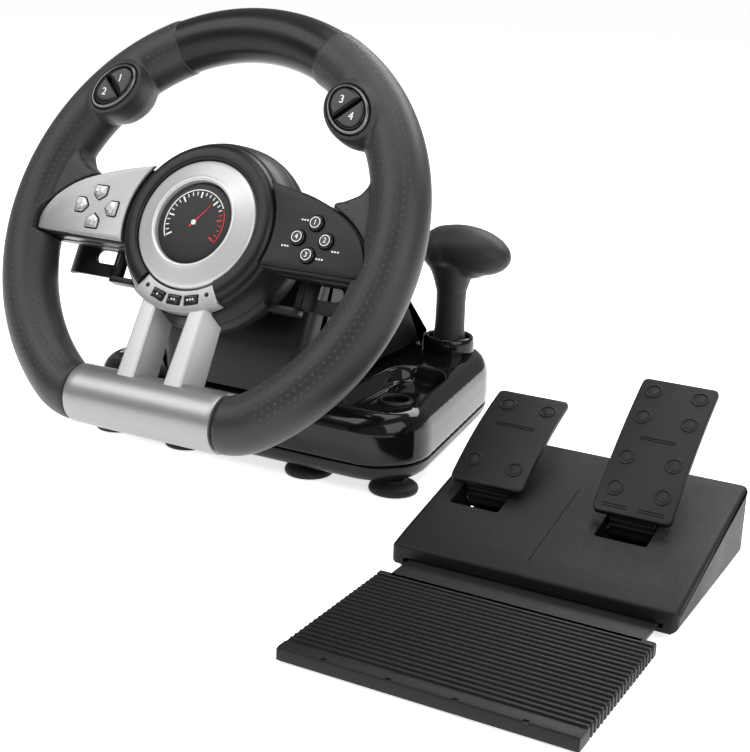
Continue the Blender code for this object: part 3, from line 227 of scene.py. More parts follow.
def leather(name, colour):
    """Grained cover with rows of small round perforations where the mesh marks them; their rims carry a
    painted highlight and their pits painted shade.
    """
    m = Nodes(name, colour, 0.5, specular=0.4)
    m.put("Sheen Weight", 0.06)
    grain = m.cells(1500.0)
    creases = m.cells(620.0, "DISTANCE_TO_EDGE")
    slow = m.noise(24.0, 4.0)
    fine = m.noise(1900.0, 3.0)
    height = m.sum("ADD", m.sum("MULTIPLY", grain, 0.5), m.span(creases, 0.0, 0.12, 0, 0.55))
    height = m.sum("ADD", height, m.sum("MULTIPLY", fine, 0.4))
    uv = m.node("ShaderNodeUVMap", uv_map="around")
    part = m.node("ShaderNodeSeparateXYZ")
    m.link(uv.outputs["UV"], part.inputs[0])
    row = m.sum("FLOOR", part.outputs["Y"], 0.0)
    shifted = m.sum("ADD", part.outputs["X"], m.sum("MULTIPLY", row, 0.5))
    across = m.sum("SUBTRACT", m.sum("FRACT", shifted, 0.0), 0.5)
    down = m.sum("SUBTRACT", m.sum("FRACT", part.outputs["Y"], 0.0), 0.5)
    squares = m.sum("ADD", m.sum("POWER", across, 2.0), m.sum("POWER", down, 2.0))
    reach = m.sum("POWER", squares, 0.5)
    mark = m.node("ShaderNodeAttribute", attribute_name="marked").outputs["Fac"]
    # The hole mask sinks the perforations in the bump and also carries their painted shade below.
    hole = m.sum("MULTIPLY", m.span(reach, 0.05, 0.1, 1, 0), mark)
    # The rim mask raises rings round the perforations in the bump and also carries their painted highlight
    # tint below.
    rim = m.sum("MULTIPLY", m.span(reach, 0.07, 0.11, 0, 1), m.span(reach, 0.12, 0.17, 1, 0))
    rim = m.sum("MULTIPLY", rim, mark)
    normal = m.bump(height, 0.00009, 0.55)
    normal = m.bump(m.sum("SUBTRACT", rim, hole), 0.0004, 0.7, normal)
    tint = m.blend(m.span(slow, 0.35, 0.7, 0, 1), shade(colour, 0.8), shade(colour, 1.25))
    tint = m.blend(m.span(grain, 0.0, 0.6, 0, 0.5), tint, shade(colour, 1.35))
    # Painted highlight: a pale tint on the perforation rims, where light would catch their edges.
    tint = m.blend(m.sum("MULTIPLY", rim, 0.8), tint, (0.1, 0.1, 0.104))
    # Painted shade: the perforation pits are darkened as if shade fell into them.
    tint = m.blend(m.sum("MULTIPLY", hole, 0.8), tint, shade(colour, 0.3))
    rough_out = m.span(m.sum("ADD", slow, m.sum("MULTIPLY", grain, 0.4)), 0.3, 1.0, 0.33, 0.52)
    return m.finish(normal, rough_out, tint)


def rubber(name, colour, rough=0.62):
    """Soft dull rubber with a faint sheen."""
    m = Nodes(name, colour, rough, specular=0.3)
    m.put("Sheen Weight", 0.08)
    slow = m.noise(40.0, 4.0)
    fine = m.noise(1300.0, 4.0)
    tint = m.blend(slow, shade(colour, 0.75), shade(colour, 1.35))
    rough_out = m.span(fine, 0.3, 0.7, rough - 0.08, rough + 0.08)
    return m.finish(m.bump(fine, 0.00008, 0.6), rough_out, tint)


def steel(name, colour):
    """Machined steel with fine turning marks."""
    m = Nodes(name, colour, 0.28, 1.0)
    turned_marks = m.noise(380.0, 6.0, 0.7)
    tint = m.blend(turned_marks, shade(colour, 0.85), shade(colour, 1.15))
    rough_out = m.span(turned_marks, 0.3, 0.7, 0.2, 0.38)
    return m.finish(m.bump(turned_marks, 0.00005, 0.5), rough_out, tint)


def printed(name, colour):
    """Flat ink with slight wear."""
    m = Nodes(name, colour, 0.5)
    worn = m.noise(900.0, 3.0)
    tint = m.blend(worn, shade(colour, 0.9), shade(colour, 1.05))
    return m.finish(None, m.span(worn, 0.3, 0.7, 0.4, 0.6), tint)


def circuit(name):
    """A green board with paler tracks."""
    m = Nodes(name, (0.02, 0.16, 0.06), 0.45)
    tracks = m.cells(420.0, "DISTANCE_TO_EDGE")
    tint = m.blend(m.span(tracks, 0.02, 0.1, 1, 0), (0.015, 0.12, 0.05), (0.05, 0.3, 0.12))
    return m.finish(m.bump(tracks, 0.0002, 0.4), None, tint)


LEATHER = leather("grip_cover", (0.0125, 0.0125, 0.0135))
TOP = moulded("rim_smooth", (0.008, 0.008, 0.009), 0.3, 1500.0, 0.00003, 0.05)
BLACK = moulded("hub_black", (0.008, 0.008, 0.009), 0.33, 1400.0, 0.00004, 0.06)
PANEL = moulded("panel_black", (0.006, 0.006, 0.0065), 0.36, 1500.0, 0.00003, 0.05)
DISC = moulded("disc_grey", (0.016, 0.016, 0.017), 0.42, 1800.0, 0.00003, 0.05)
GLOSS = polished("gloss_black", (0.004, 0.004, 0.0045))
KEY = polished("key_black", (0.006, 0.006, 0.007), 0.14)
SILVER = satin_paint("satin_silver", (0.34, 0.34, 0.35), 0.34)
RING = satin_paint("ring_silver", (0.56, 0.56, 0.57), 0.32, 0.5)
SILVER_KEY = satin_paint("key_silver", (0.42, 0.42, 0.43), 0.26)
SIDE = satin_paint("spoke_grey", (0.5, 0.5, 0.51), 0.36, 0.5)
UNDER = moulded("under_black", (0.007, 0.007, 0.0075), 0.45)
GUNMETAL = satin_paint("bezel_grey", (0.13, 0.13, 0.135), 0.24)
PEDAL_SKIN = moulded("pedal_textured", (0.0033, 0.0033, 0.0036), 0.5, 1500.0, 0.00012, 0.07)
PAD_SKIN = moulded("pad_textured", (0.006, 0.006, 0.0063), 0.44, 1800.0, 0.0001, 0.06)
REST_SKIN = moulded("rest_textured", (0.009, 0.009, 0.0095), 0.52, 1500.0, 0.00012, 0.07)
RUBBER = rubber("soft_rubber", (0.006, 0.006, 0.0065))
KNOB = rubber("knob_rubber", (0.008, 0.008, 0.0085), 0.5)
STEEL = steel("machined_steel", (0.55, 0.55, 0.56))
PRINT = printed("pale_print", (0.72, 0.72, 0.74))
RED = printed("red_print", (0.5, 0.02, 0.025))
BOARD = circuit("board_green")
DARK = moulded("well_black", (0.006, 0.006, 0.0065), 0.6)


# Shapes, in millimetres in a piece's own frame


def raw(name, verts, faces):
    mesh = bpy.data.meshes.new(name)
    mesh.from_pydata([tuple(v) for v in verts], [], [tuple(f) for f in faces])
    return mesh


def skin(rings, close=False, caps=True):
    """(vertices, faces) of a row of sections, closed on itself or capped at both ends."""
    count = len(rings[0])
    verts = [p for ring in rings for p in ring]
    faces = []
    rows = len(rings)
    for r in range(rows if close else rows - 1):
        a = r * count
        b = ((r + 1) % rows) * count
        for i in range(count):
            j = (i + 1) % count
            faces.append((a + i, a + j, b + j, b + i))
    if caps and not close:
        faces.append(tuple(range(count))[::-1])
        faces.append(tuple((rows - 1) * count + i for i in range(count)))
    return verts, faces


def sound(mesh):
    """The mesh with double points joined and its faces turned outwards."""
    shape = bmesh.new()
    shape.from_mesh(mesh)
    bmesh.ops.remove_doubles(shape, verts=shape.verts, dist=1e-6)
    bmesh.ops.recalc_face_normals(shape, faces=shape.faces)
    shape.to_mesh(mesh)
    shape.free()
    return mesh


def loft(name, rings, close=False):
    return sound(raw(name, *skin(rings, close)))


def arc(radius, start, end, count, centre=(0.0, 0.0)):
    return [
        (centre[0] + radius * math.cos(start + (end - start) * i / (count - 1)),
         centre[1] + radius * math.sin(start + (end - start) * i / (count - 1)))
        for i in range(count)
    ]


def softened(points, radius, steps=4):
    """A polygon with each corner rounded, by one radius or by a list of them."""
    made = []
    count = len(points)
    for i, here in enumerate(points):
        size = radius[i] if isinstance(radius, (list, tuple)) else radius
        if size <= 0:
            made.append(tuple(here))
            continue
        here = Vector(here)
        before = Vector(points[i - 1]) - here
        after = Vector(points[(i + 1) % count]) - here
        a = here + before.normalized() * min(size, before.length * 0.48)
        b = here + after.normalized() * min(size, after.length * 0.48)
        for k in range(steps + 1):
            t = k / steps
            made.append(tuple(a * (1 - t) ** 2 + here * 2 * t * (1 - t) + b * t * t))
    return made


def smooth_line(points, per=6):
    """A smooth open line through the points."""
    pts = [Vector(p) for p in points]
    pts = [pts[0] * 2 - pts[1]] + pts + [pts[-1] * 2 - pts[-2]]
    made = []
    for a, b, c, d in zip(pts, pts[1:], pts[2:], pts[3:]):
        for k in range(per):
            t = k / per
            second = (2 * a - 5 * b + 4 * c - d) * t * t
            third = (3 * b - a - 3 * c + d) * t**3
            made.append(tuple(0.5 * (2 * b + (c - a) * t + second + third)))
    made.append(tuple(pts[-2]))
    return made


def grown(points, distance):
    """A counter-clockwise outline moved outwards."""
    moved = []
    for before, here, after in zip(points[-1:] + points[:-1], points, points[1:] + points[:1]):
        first = (Vector(here) - Vector(before)).normalized()
        second = (Vector(after) - Vector(here)).normalized()
        normal = Vector((first.y + second.y, -first.x - second.x))
        normal = normal.normalized() if normal.length > 1e-9 else Vector((first.y, -first.x))
        reach = distance / max(0.55, normal.dot(Vector((first.y, -first.x))))
        moved.append((here[0] + normal.x * reach, here[1] + normal.y * reach))
    return moved


def flip(points, side):
    """An outline as it is on the right, or mirrored to the left."""
    return list(points) if side > 0 else [(-x, y) for x, y in reversed(points)]


def rounding(start, edge, steps):
    """(place, inset) rows of a quarter round that begins at start."""
    turns = [math.pi / 2 * (1 - k / steps) for k in range(steps + 1)]
    return [(start + edge - edge * math.sin(t), edge * (1 - math.cos(t))) for t in turns]


def rect(left, low, right, high):
    """A rectangle's corners, from the lower left one round to the right."""
    return [(left, low), (right, low), (right, high), (left, high)]


def plate(name, outline, low, high, edge=0.6, steps=4, crown=0.0):
    """A plate with rounded edges; crown lifts the middle of its top in steps."""
    rows = rounding(low, edge, steps)
    rows += [(low + high - z, inset) for z, inset in reversed(rows)]
    if crown:
        lifts = ((0.45, 1.0), (0.8, 2.2), (1.0, 3.4))
        rows += [(high + crown * share, edge + inset) for share, inset in lifts]
    rings = [[(x, y, z) for x, y in grown(outline, -inset)] for z, inset in rows]
    return loft(name, rings)


def turned(name, profile, steps=96):
    """A turned shape from (radius, height) points; a ring if none is on the axis."""
    ring = min(p[0] for p in profile) > 1e-6
    rings = []
    for i in range(steps):
        a = 2 * math.pi * i / steps
        rings.append([(r * math.cos(a), r * math.sin(a), z) for r, z in profile])
    verts, faces = skin(rings, True, False)
    if not ring:
        count = len(profile)
        faces = [f for f in faces if not all(profile[v % count][0] < 1e-6 for v in f)]
    return sound(raw(name, verts, faces))


def linked(name, data):
    """A new object in the scene."""
    made = bpy.data.objects.new(name, data)
    bpy.context.scene.collection.objects.link(made)
    return made


def final_mesh(guide):
    """The evaluated mesh of an object that is then removed."""
    bpy.context.view_layer.update()
    graph = bpy.context.evaluated_depsgraph_get()
    mesh = bpy.data.meshes.new_from_object(guide.evaluated_get(graph))
    bpy.data.objects.remove(guide)
    return mesh


def baked(name, mesh, *modifiers):
    """The mesh after modifiers, each (type, {settings})."""
    guide = linked("guide", mesh)
    for kind, settings in modifiers:
        step = guide.modifiers.new(kind, kind)
        for key, value in settings.items():
            setattr(step, key, value)
    made = final_mesh(guide)
    made.name = name
    return made


def carved(name, mesh, *cutters):
    """The mesh less the cutters."""
    tools = [linked("tool", cutter) for cutter in cutters]
    settings = {"operation": "DIFFERENCE", "solver": "EXACT"}
    steps = [("BOOLEAN", {**settings, "object": tool}) for tool in tools]
    made = baked(name, mesh, *steps)
    for tool in tools:
        bpy.data.objects.remove(tool)
    return made


def together(name, *meshes):
    """Several meshes as one."""
    shape = bmesh.new()
    for mesh in meshes:
        shape.from_mesh(mesh)
    made = bpy.data.meshes.new(name)
    shape.to_mesh(made)
    shape.free()
    return made


def melted(name, voxel, rounds, *meshes):
    """Overlapping closed shapes merged into one skin with soft inner corners."""
    whole = together(name, *meshes)
    voxel = voxel * 1.0
    steps = [("REMESH", {"mode": "VOXEL", "voxel_size": voxel, "adaptivity": 0.0})]
    if rounds:
        steps.append(("SMOOTH", {"factor": 0.5, "iterations": rounds}))
    return baked(name, whole, *steps)


def moved(mesh, matrix):
    """A copy of the mesh, moved."""
    made = mesh.copy()
    made.transform(matrix)
    return made


def put(name, mesh, matrix, body, look, *nodes, slot=None, angle=38):
    """Places a piece on a body, gives it its look and hides the nodes it stands for."""
    mesh.transform(matrix)
    if matrix.determinant() < 0:
        mesh.flip_normals()
    mesh.materials.clear()
    mesh.materials.append(look)
    mesh.shade_smooth()
    mesh.set_sharp_from_angle(angle=math.radians(angle))
    made = linked(name, mesh)
    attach(made, body)
    if nodes:
        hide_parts(*nodes)


def on_wheel(name, mesh, look, *nodes, **options):
    """Puts a piece on the steering wheel."""
    put(name, mesh, STEER, "steering_wheel", look, *nodes, **options)


def on_base(name, mesh, look, *nodes, **options):
    """Puts a piece on the base."""
    put(name, mesh, BASE, "base", look, *nodes, **options)


def at(x, y, z, turn=0.0):
    return Matrix.Translation((x, y, z)) @ Matrix.Rotation(turn, 4, "Z")


def numeral(text, size):
    """A plain numeral as a thin raised print."""
    curve = bpy.data.curves.new("numeral", "FONT")
    curve.body = text
    curve.size = size
    curve.extrude = 0.15
    curve.resolution_u = 4
    curve.align_x = "CENTER"
    curve.align_y = "CENTER"
    return final_mesh(linked("numeral", curve))


# Rim


def circle_ring(centre, out, radius, sides):
    """A circle across a tube, given its centre and its outward direction."""
    ring = []
    for i in range(sides):
        a = 2 * math.pi * i / sides
        up = Vector((0, 0, 1)) * (radius * math.sin(a))
        ring.append(tuple(Vector(centre) + Vector(out) * (radius * math.cos(a)) + up))
    return ring


def rim_ring(angle, radius, sides):
    """A circle across the tube on the rim's big circle."""
    out = (math.cos(angle), math.sin(angle), 0)
    return circle_ring((RIM * out[0], RIM * out[1], 0), out, radius, sides)


def grip_rings(start, sides=40):
    """Circles along the right grip, from start down to the bottom bar."""
    rings = []
    for i in range(70):
        rings.append(rim_ring(start + (BLEND_ANGLE - start) * i / 69, GRIP, sides))
    for i in range(1, 16):
        a = BLEND_ANGLE + (-math.pi / 2 - BLEND_ANGLE) * i / 15
        out = (math.cos(a), math.sin(a), 0)
        tuck = 0.4 if i == 15 else 0
        centre = (HALF + BLEND * out[0] + tuck, -(DROP - BLEND) + BLEND * out[1], 0)
        rings.append(circle_ring(centre, out, GRIP, sides))
    return rings


def seam_line(shift):
    """The curved joint between a grip and the top arc, right side, outer to inner."""
    radii = (150, 136, 129, 120, 112, 106, 101, 92, 80)
    degrees = (43, 46.2, 49.2, 53.2, 57, 59.6, 60.6, 60.5, 59)
    line = []
    for radius, angle in zip(radii, degrees):
        a = math.radians(angle + shift)
        line.append((radius * math.cos(a), radius * math.sin(a)))
    return smooth_line(line, 5)


def pod_oval(inset, count=72):
    """The thumb pod's outline, drawn in."""
    turn = Matrix.Rotation(POD_TURN, 2)
    made = []
    for i in range(count):
        a = 2 * math.pi * i / count
        spot = turn @ Vector(((19.5 - inset) * math.cos(a), (15.0 - inset) * math.sin(a)))
        made.append((POD[0] + spot.x, POD[1] + spot.y))
    return made


def oval_stack(name, rows):
    """A solid from (height, inset) rows of the pod's outline."""
    return loft(name, [[(x, y, z) for x, y in pod_oval(inset)] for z, inset in rows])


def panel_line(inner, margin=0.0):
    """The right panel's outline, counter-clockwise."""
    top = [(109.5, -7.0), (106.0, 0.5), (101.0, 7.0), (91.5, 14.5), (80.0, 20.0)]
    hub_high = (inner * math.cos(math.radians(38)), inner * math.sin(math.radians(38)))
    crest = smooth_line([(109.3, -15.0)] + top + [(60.0, 26.3), hub_high], 6)
    start = math.asin(PANEL_LOW / inner)
    hub_side = arc(inner, math.radians(37), start, 26)
    foot = [(hub_side[-1][0] + 1.5, PANEL_LOW), (107.6, PANEL_LOW), (108.8, PANEL_LOW + 0.5)]
    outline = foot + crest + hub_side
    return grown(outline, margin) if margin else outline


def mark_perforations(mesh):
    """Writes UVs that run along and round the right grip, and where its perforations are."""
    count = len(mesh.vertices)
    points = np.empty(count * 3, np.float32)
    mesh.vertices.foreach_get("co", points)
    points = points.reshape(-1, 3).astype(float)
    x, y, w = points.T
    angle = np.arctan2(y, x)
    near = np.arctan2(y + DROP - BLEND, x - HALF)
    low = (angle < BLEND_ANGLE) & (near < BLEND_ANGLE)
    along = np.where(low, RIM * BLEND_ANGLE + BLEND * (near - BLEND_ANGLE), RIM * angle)
    out = np.where(low, np.hypot(x - HALF, y + DROP - BLEND) - BLEND, np.hypot(x, y) - RIM)
    turn = np.arctan2(out, w)
    away = np.hypot(x - POD[0], y - POD[1])
    crown = np.clip((0.86 - np.abs(turn + 0.12)) / 0.08, 0, 1)
    gusset = np.clip((104.0 - np.hypot(x, y)) / 2.0, 0, 1) * (w > 4) * (y < 44)
    mark = np.maximum(crown, gusset) * np.clip((away - 22.5) / 1.5, 0, 1)
    mark *= np.clip((y + 101.5) / 1.0, 0, 1)
    layer = mesh.attributes.new("marked", "FLOAT", "POINT")
    layer.data.foreach_set("value", mark.astype(np.float32))
    uv = mesh.uv_layers.new(name="around")
    index = np.empty(len(mesh.loops), np.int32)
    mesh.loops.foreach_get("vertex_index", index)
    pitch = 4.1
    values = np.stack([along / pitch, turn * 19.0 / pitch + 0.25], axis=1)[index]
    uv.data.foreach_set("uv", values.astype(np.float32).ravel())


def grip(side, word):
    """A padded grip with the gusset over the arm's end and the thumb pod."""
    tube = loft("tube", grip_rings(math.radians(66)))
    gusset_line = [
        (120, -26), (120, 46), (103, 46), (99.5, 38), (94.5, 30), (86, 25.5), (80, 24), (82, 12),
        (100, -6), (104, -19), (107, -26),
    ]
    gusset = plate("gusset", gusset_line, -11, 9.5, 3.0)
    pod_rows = ((-9, 6), (-4, 2.5), (4, 0.3), (12, -0.2), (17.0, 0.2), (18.6, 1.2), (19.2, 2.6))
    pod = oval_stack("pod", pod_rows)
    body = melted("body", 1.1, 16, tube, gusset, pod)
    arm = plate("arm", panel_line(48.6, 1.6), -12.4, 60, 0.4)
    line = seam_line(-0.12)
    sky = [(190, line[0][1]), (190, 190), (-40, 190), (-40, 60)]
    above = plate("above", sky + line, -60, 60, 0.1)
    recess = oval_stack("recess", ((13.4, 3.0), (17.8, 2.8), (19.2, 1.7), (30, -4)))
    mesh = carved("grip", body, arm, recess, above)
    mesh = melted("grip", 0.62, 2, mesh)
    mark_perforations(mesh)
    node = "grip_" + word
    put("rim_" + node, mesh, wheel_side(side), "steering_wheel", LEATHER, node, angle=60)


def wheel_side(side):
    """The steering frame, mirrored for the left side."""
    return STEER if side > 0 else STEER @ MIRROR


def top_arc():
    """The smooth arc between the grips."""
    angles = [math.radians(40 + 100 * i / 89) for i in range(90)]
    tube = loft("tube", [rim_ring(a, TOP_TUBE, 56) for a in angles])
    line = seam_line(0.12)
    right = [(190, -20), (190, line[0][1])] + line + [(20, 20), (60, -20)]
    cut_right = plate("cut", right, -60, 60, 0.1)
    cut_left = plate("cut", flip(right, -1), -60, 60, 0.1)
    mesh = carved("top", tube, cut_right, cut_left)
    mesh = melted("top", 0.7, 1, mesh)
    on_wheel("rim_top_arc", mesh, TOP, "rim_top", angle=60)


def thumb_set(side, word):
    """The ring in a thumb pod, the well and the two half-oval keys with their numerals."""
    matrix = wheel_side(side)
    rows_out = ((13.9, 0.0), (18.6, 0.0), (19.4, 0.35), (19.7, 0.9))
    rows_in = ((19.6, 1.4), (18.9, 1.75), (13.9, 1.75))
    rings = [[(x, y, z) for x, y in pod_oval(3.4 + inset)] for z, inset in rows_out + rows_in]
    bezel = loft("bezel", rings, True)
    node = "thumb_bezel_" + word
    put("thumb_ring_" + word, bezel, matrix, "steering_wheel", GUNMETAL, node)
    well = oval_stack("well", ((13.5, 3.2), (14.6, 3.2)))
    put("thumb_well_" + word, well, matrix, "steering_wheel", DARK)
    key_rows = (
        (-3.6, 1.0), (0.0, 1.0), (0.4, 0.985), (0.68, 0.95), (0.84, 0.9), (1.05, 0.7),
        (1.18, 0.45), (1.22, 0.15),
    )
    for end, sign in (("upper", -1), ("lower", 1)):
        middle = sign * 5.6
        half = [(0.3 + 13.2 * math.cos(a), 9.3 * math.sin(a)) for a in np.linspace(-1.5, 1.5, 37)]
        half = [(sign * x, sign * y) for x, y in softened(half, 0.3, 2)]
        rings = []
        for z, share in key_rows:
            rings.append([(middle + (x - middle) * share, y * share, z) for x, y in half])
        key = loft("key", rings)
        body = "thumb_button_" + word + "_" + end
        put(body + "_cap", moved(key, at(*POD, 19.0, POD_TURN)), matrix, body, KEY, body)
        digit = {"left": {"upper": "1", "lower": "2"}, "right": {"upper": "3", "lower": "4"}}
        upright = at(*POD, 20.42, POD_TURN) @ at(sign * 6.2, 0, 0, -POD_TURN)
        if side < 0:
            upright = upright @ MIRROR
        mark = moved(numeral(digit[word][end], 6.4), upright)
        put(body + "_mark", mark, matrix, body, PRINT)


# Hub


def bezel():
    """The black ring round the hub with the front half of both arms."""
    profile = [
        (9, 2.6), (38.4, 2.6), (38.4, 10.4), (39.4, 11.5), (43.5, 11.7), (46.6, 10.9), (48.5, 8.6),
        (49.3, 6.2), (50.4, 5.2), (52.6, 0.5), (55, -7.8), (52.4, -7.8), (47, 0), (9, 0),
    ]
    sizes = [0, 0, 0.5, 0.9, 2.0, 2.0, 1.4, 0.8, 0.8, 2, 0.3, 0.3, 0, 0]
    ring = turned("bezel", softened(profile, sizes, 4), 128)
    plate_room = plate("room", sector(0.4, 33.0), 1.6, 40, 0.05)
    ring = carved("bezel", ring, plate_room)
    arms = []
    for side in (-1, 1):
        arms.append(plate("arm", flip(panel_line(46.0, 1.2), side), -1.8, 7.5, 1.4))
    on_wheel("hub_bezel", together("hub", ring, *arms), BLACK, "hub_front_shell")


def rear_shell():
    """The hub's back with the rear half of both arms and the paddle lugs."""
    profile = [
        (9.4, -35), (9.4, -44), (22, -44), (24.5, -39.5), (40, -36), (54, -26), (56.5, -15), (55, -8.2),
        (52.4, -8.2), (53.9, -15), (51.4, -24.5), (39, -33), (13, -35),
    ]
    shell = turned(
        "rear", softened(profile, [0, 0.5, 1.5, 3, 6, 6, 5, 0.4, 0.4, 4, 4, 4, 0], 4), 96,
    )
    pieces = [shell]
    for side in (-1, 1):
        arm = plate("arm", flip(panel_line(50.0, 1.2), side), -12, -2.2, 2.4)
        pieces.append(arm)
        for low, high in ((-3.6, 0.0), (-36.0, -32.4)):
            outline = softened(rect(46, -20.6, 65.4, -11.5), 2.6, 4)
            lug = plate("lug", flip(outline, side), -high, -low, 0.5)
            pieces.append(moved(lug, XZY))
    on_wheel("hub_back", together("rear", *pieces), BLACK, "hub_rear_shell")


def ring_and_cap():
    """The silver ring and the disc inside it with its dial."""
    ring = [
        (24.4, 3), (24.4, 13.6), (24.9, 14.6), (26.2, 14.9), (27.4, 14.3), (36.2, 11.3), (37.6, 10.4), (38, 9.3), (38, 3),
    ]
    mesh = turned("ring", softened(ring, [0, 0.5, 0.6, 0.8, 0.8, 1.2, 0.8, 0.4, 0], 4), 144)
    on_wheel("centre_ring", mesh, RING, "hub_ring")
    cap = [(0, 3), (24, 3), (24, 10.8), (23.4, 11.7), (21, 12.2), (14, 12.7), (0, 12.95)]
    mesh = turned("cap", softened(cap, [0, 0, 0.6, 0.7, 2, 3, 0], 4), 112)
    on_wheel("centre_disc", mesh, DISC, "centre_cap")
    ticks = []
    red = []
    for i in range(25):
        a = math.radians(210 - 240 * i / 24)
        major = i % 4 == 0
        inner = 14.6 if major else 16.2
        width = 0.42 if major else 0.24
        bar = plate("tick", rect(inner, -width, 18.2, width), 12.3, 12.95, 0.04, 1)
        (red if i > 18 else ticks).append(moved(bar, Matrix.Rotation(a, 4, "Z")))
    for start, end, store in ((-32, 28, red), (32, 212, ticks)):
        line = arc(
            19.6, math.radians(start), math.radians(end), 60,
        ) + arc(19.1, math.radians(end), math.radians(start), 60)
        store.append(plate("band", line, 12.1, 12.75, 0.02, 1))
    needle = moved(
        plate(
            "needle", [(-3.5, -0.55), (13.6, -0.14), (13.6, 0.14), (-3.5, 0.55)], 12.7, 13.35, 0.1,
            1,
        ),
        Matrix.Rotation(math.radians(52), 4, "Z"),
    )
    red.append(needle)
    knob = turned("pivot", [(0, 12.5), (1.5, 12.5), (1.5, 13.4), (1.1, 13.7), (0, 13.7)], 32)
    on_wheel("dial_ticks", together("ticks", *ticks, knob), PRINT)
    on_wheel("dial_red", together("red", *red), RED)


def sector(extra, inner):
    """The outline of the plate under the ring."""
    outer = 51.5 + extra
    spread = math.radians(34) + extra / 38
    middle = -math.pi / 2
    return arc(
        outer, middle - spread, middle + spread, 48,
    ) + arc(inner, middle + spread, middle - spread, 48)


def menu_spot(place):
    """Where a menu key stands, counted from the middle one."""
    a = -math.pi / 2 + place * math.radians(14.5)
    return at(44.6 * math.cos(a), 44.6 * math.sin(a), 0, a + math.pi / 2)


def lower_frame():
    """The bottom bar, its two spokes and the plate with the menu keys' wells."""
    spans = [(-HALF + 0.45, BAR - 0.7), (-HALF + 0.6, BAR - 0.25), (-HALF + 1.1, BAR)]
    spans += [(-HALF + 1.1 + (2 * HALF - 2.2) * i / 20, BAR) for i in range(1, 20)]
    spans += [(-x, r) for x, r in reversed(spans[:3])]
    bar = loft("bar", [circle_ring((x, -DROP, 0), (0, -1, 0), r, 72) for x, r in spans])
    spokes = []
    for side in (-1, 1):
        rows = []
        for i in range(25):
            t = i / 24
            centre = 16.4 - 0.5 * t
            wide = 4.9 + 1.0 * t
            y = -41.0 + (-102.0 + 41.0) * t
            front = 8.6 + 3.2 * t
            section = softened(rect(-wide, -12.4, wide, front), 1.3, 4)
            rows.append([(side * centre + x, y, z) for x, z in section])
        spokes.append(loft("spoke", rows))
    apron = plate("apron", sector(0.0, 38.8), 2, 9.6, 0.7)
    wells = [
        moved(
            plate(
                "well", softened([(4.7, -3.0), (4.7, 3.0), (-4.7, 3.0), (-4.7, -3.0)], 0.6, 3), -20,
                40, 0.05,
            ),
            menu_spot(p),
        )
        for p in (-1, 0, 1)
    ]
    apron = carved("apron", apron, *wells)
    on_wheel("lower_frame", together("lower", bar, apron), SILVER, "lower_spoke_bar")
    on_wheel("lower_spokes", together("spokes", *spokes), SIDE)
    dots = []
    for side in (-1, 1):
        lamp = turned("lamp", [(0, 10.9), (1.35, 10.9), (1.35, 11.55), (1.0, 11.8), (0, 11.95)], 28)
        dots.append(moved(lamp, at(side * 20.0, -38.7, -1.9)))
    on_wheel("lamps", together("lamps", *dots), KEY)


def menu_keys():
    for place, word in ((-1, "left"), (0, "centre"), (1, "right")):
        body = "menu_button_" + word
        outline = softened([(4.3, -2.6), (4.3, 2.6), (-4.3, 2.6), (-4.3, -2.6)], 0.7, 3)
        key = plate("key", outline, 3.5, 10.4, 0.5, 3, 0.35)
        put(body + "_cap", moved(key, menu_spot(place)), STEER, body, KEY, body)
        bars = []
        for i in range(place + 2):
            x = (i - (place + 1) / 2) * 1.7
            bars.append(
                plate(
                    "bar",
                    softened(
                        [(x + 0.5, -0.5), (x + 0.5, 0.5), (x - 0.5, 0.5), (x - 0.5, -0.5)], 0.3, 3,
                    ),
                    10.5, 10.95, 0.03, 1,
                )
            )
        put(body + "_mark", moved(together("bars", *bars), menu_spot(place)), STEER, body, PRINT)


# Panels and keys


def key_line(half, tip):
    """The pointed outline of a direction key."""
    return softened(
        [(0, -half), (half, tip), (half, half), (-half, half), (-half, tip)],
        [0.6, 0.9, 1.0, 1.0, 0.9], 4,
    )


def panels():
    low, high = 7.8, 10.3
    left = plate("left", flip(panel_line(50.0), -1), low, high, 0.7)
    right = plate("right", panel_line(50.0), low, high, 0.7)
    wells = []
    for word, x, y, turn in dpad():
        wells.append(
            moved(
                plate("well", grown(key_line(KEY_HALF, KEY_TIP), 0.75), -10, 40, 0.02, 1),
                at(x, y, 0, turn),
            )
        )
    left = carved("left", left, *wells)
    holes = [
        moved(turned("hole", rect(0, -10, 4.95, 40), 48), at(x, y, 0))
        for _, x, y, _ in face()
    ]
    right = carved("right", right, *holes)
    on_wheel("left_panel", left, SILVER, "panel_left")
    on_wheel("right_panel", right, PANEL, "panel_right")


def dpad():
    """The direction keys' names, places and turns."""
    x, y = -71.0, 1.5
    return (
        ("up", x, y + 8.6, 0.0), ("down", x, y - 8.6, math.pi), ("left", x - 10.5, y, math.pi / 2),
        ("right", x + 10.5, y, -math.pi / 2),
    )


def face():
    """The round keys' names, places and numerals."""
    x, y = 75.5, 0.8
    return (
        ("top", x, y + 9.2, "1"), ("bottom", x, y - 9.2, "3"), ("left", x - 8.8, y, "4"),
        ("right", x + 8.8, y, "2"),
    )


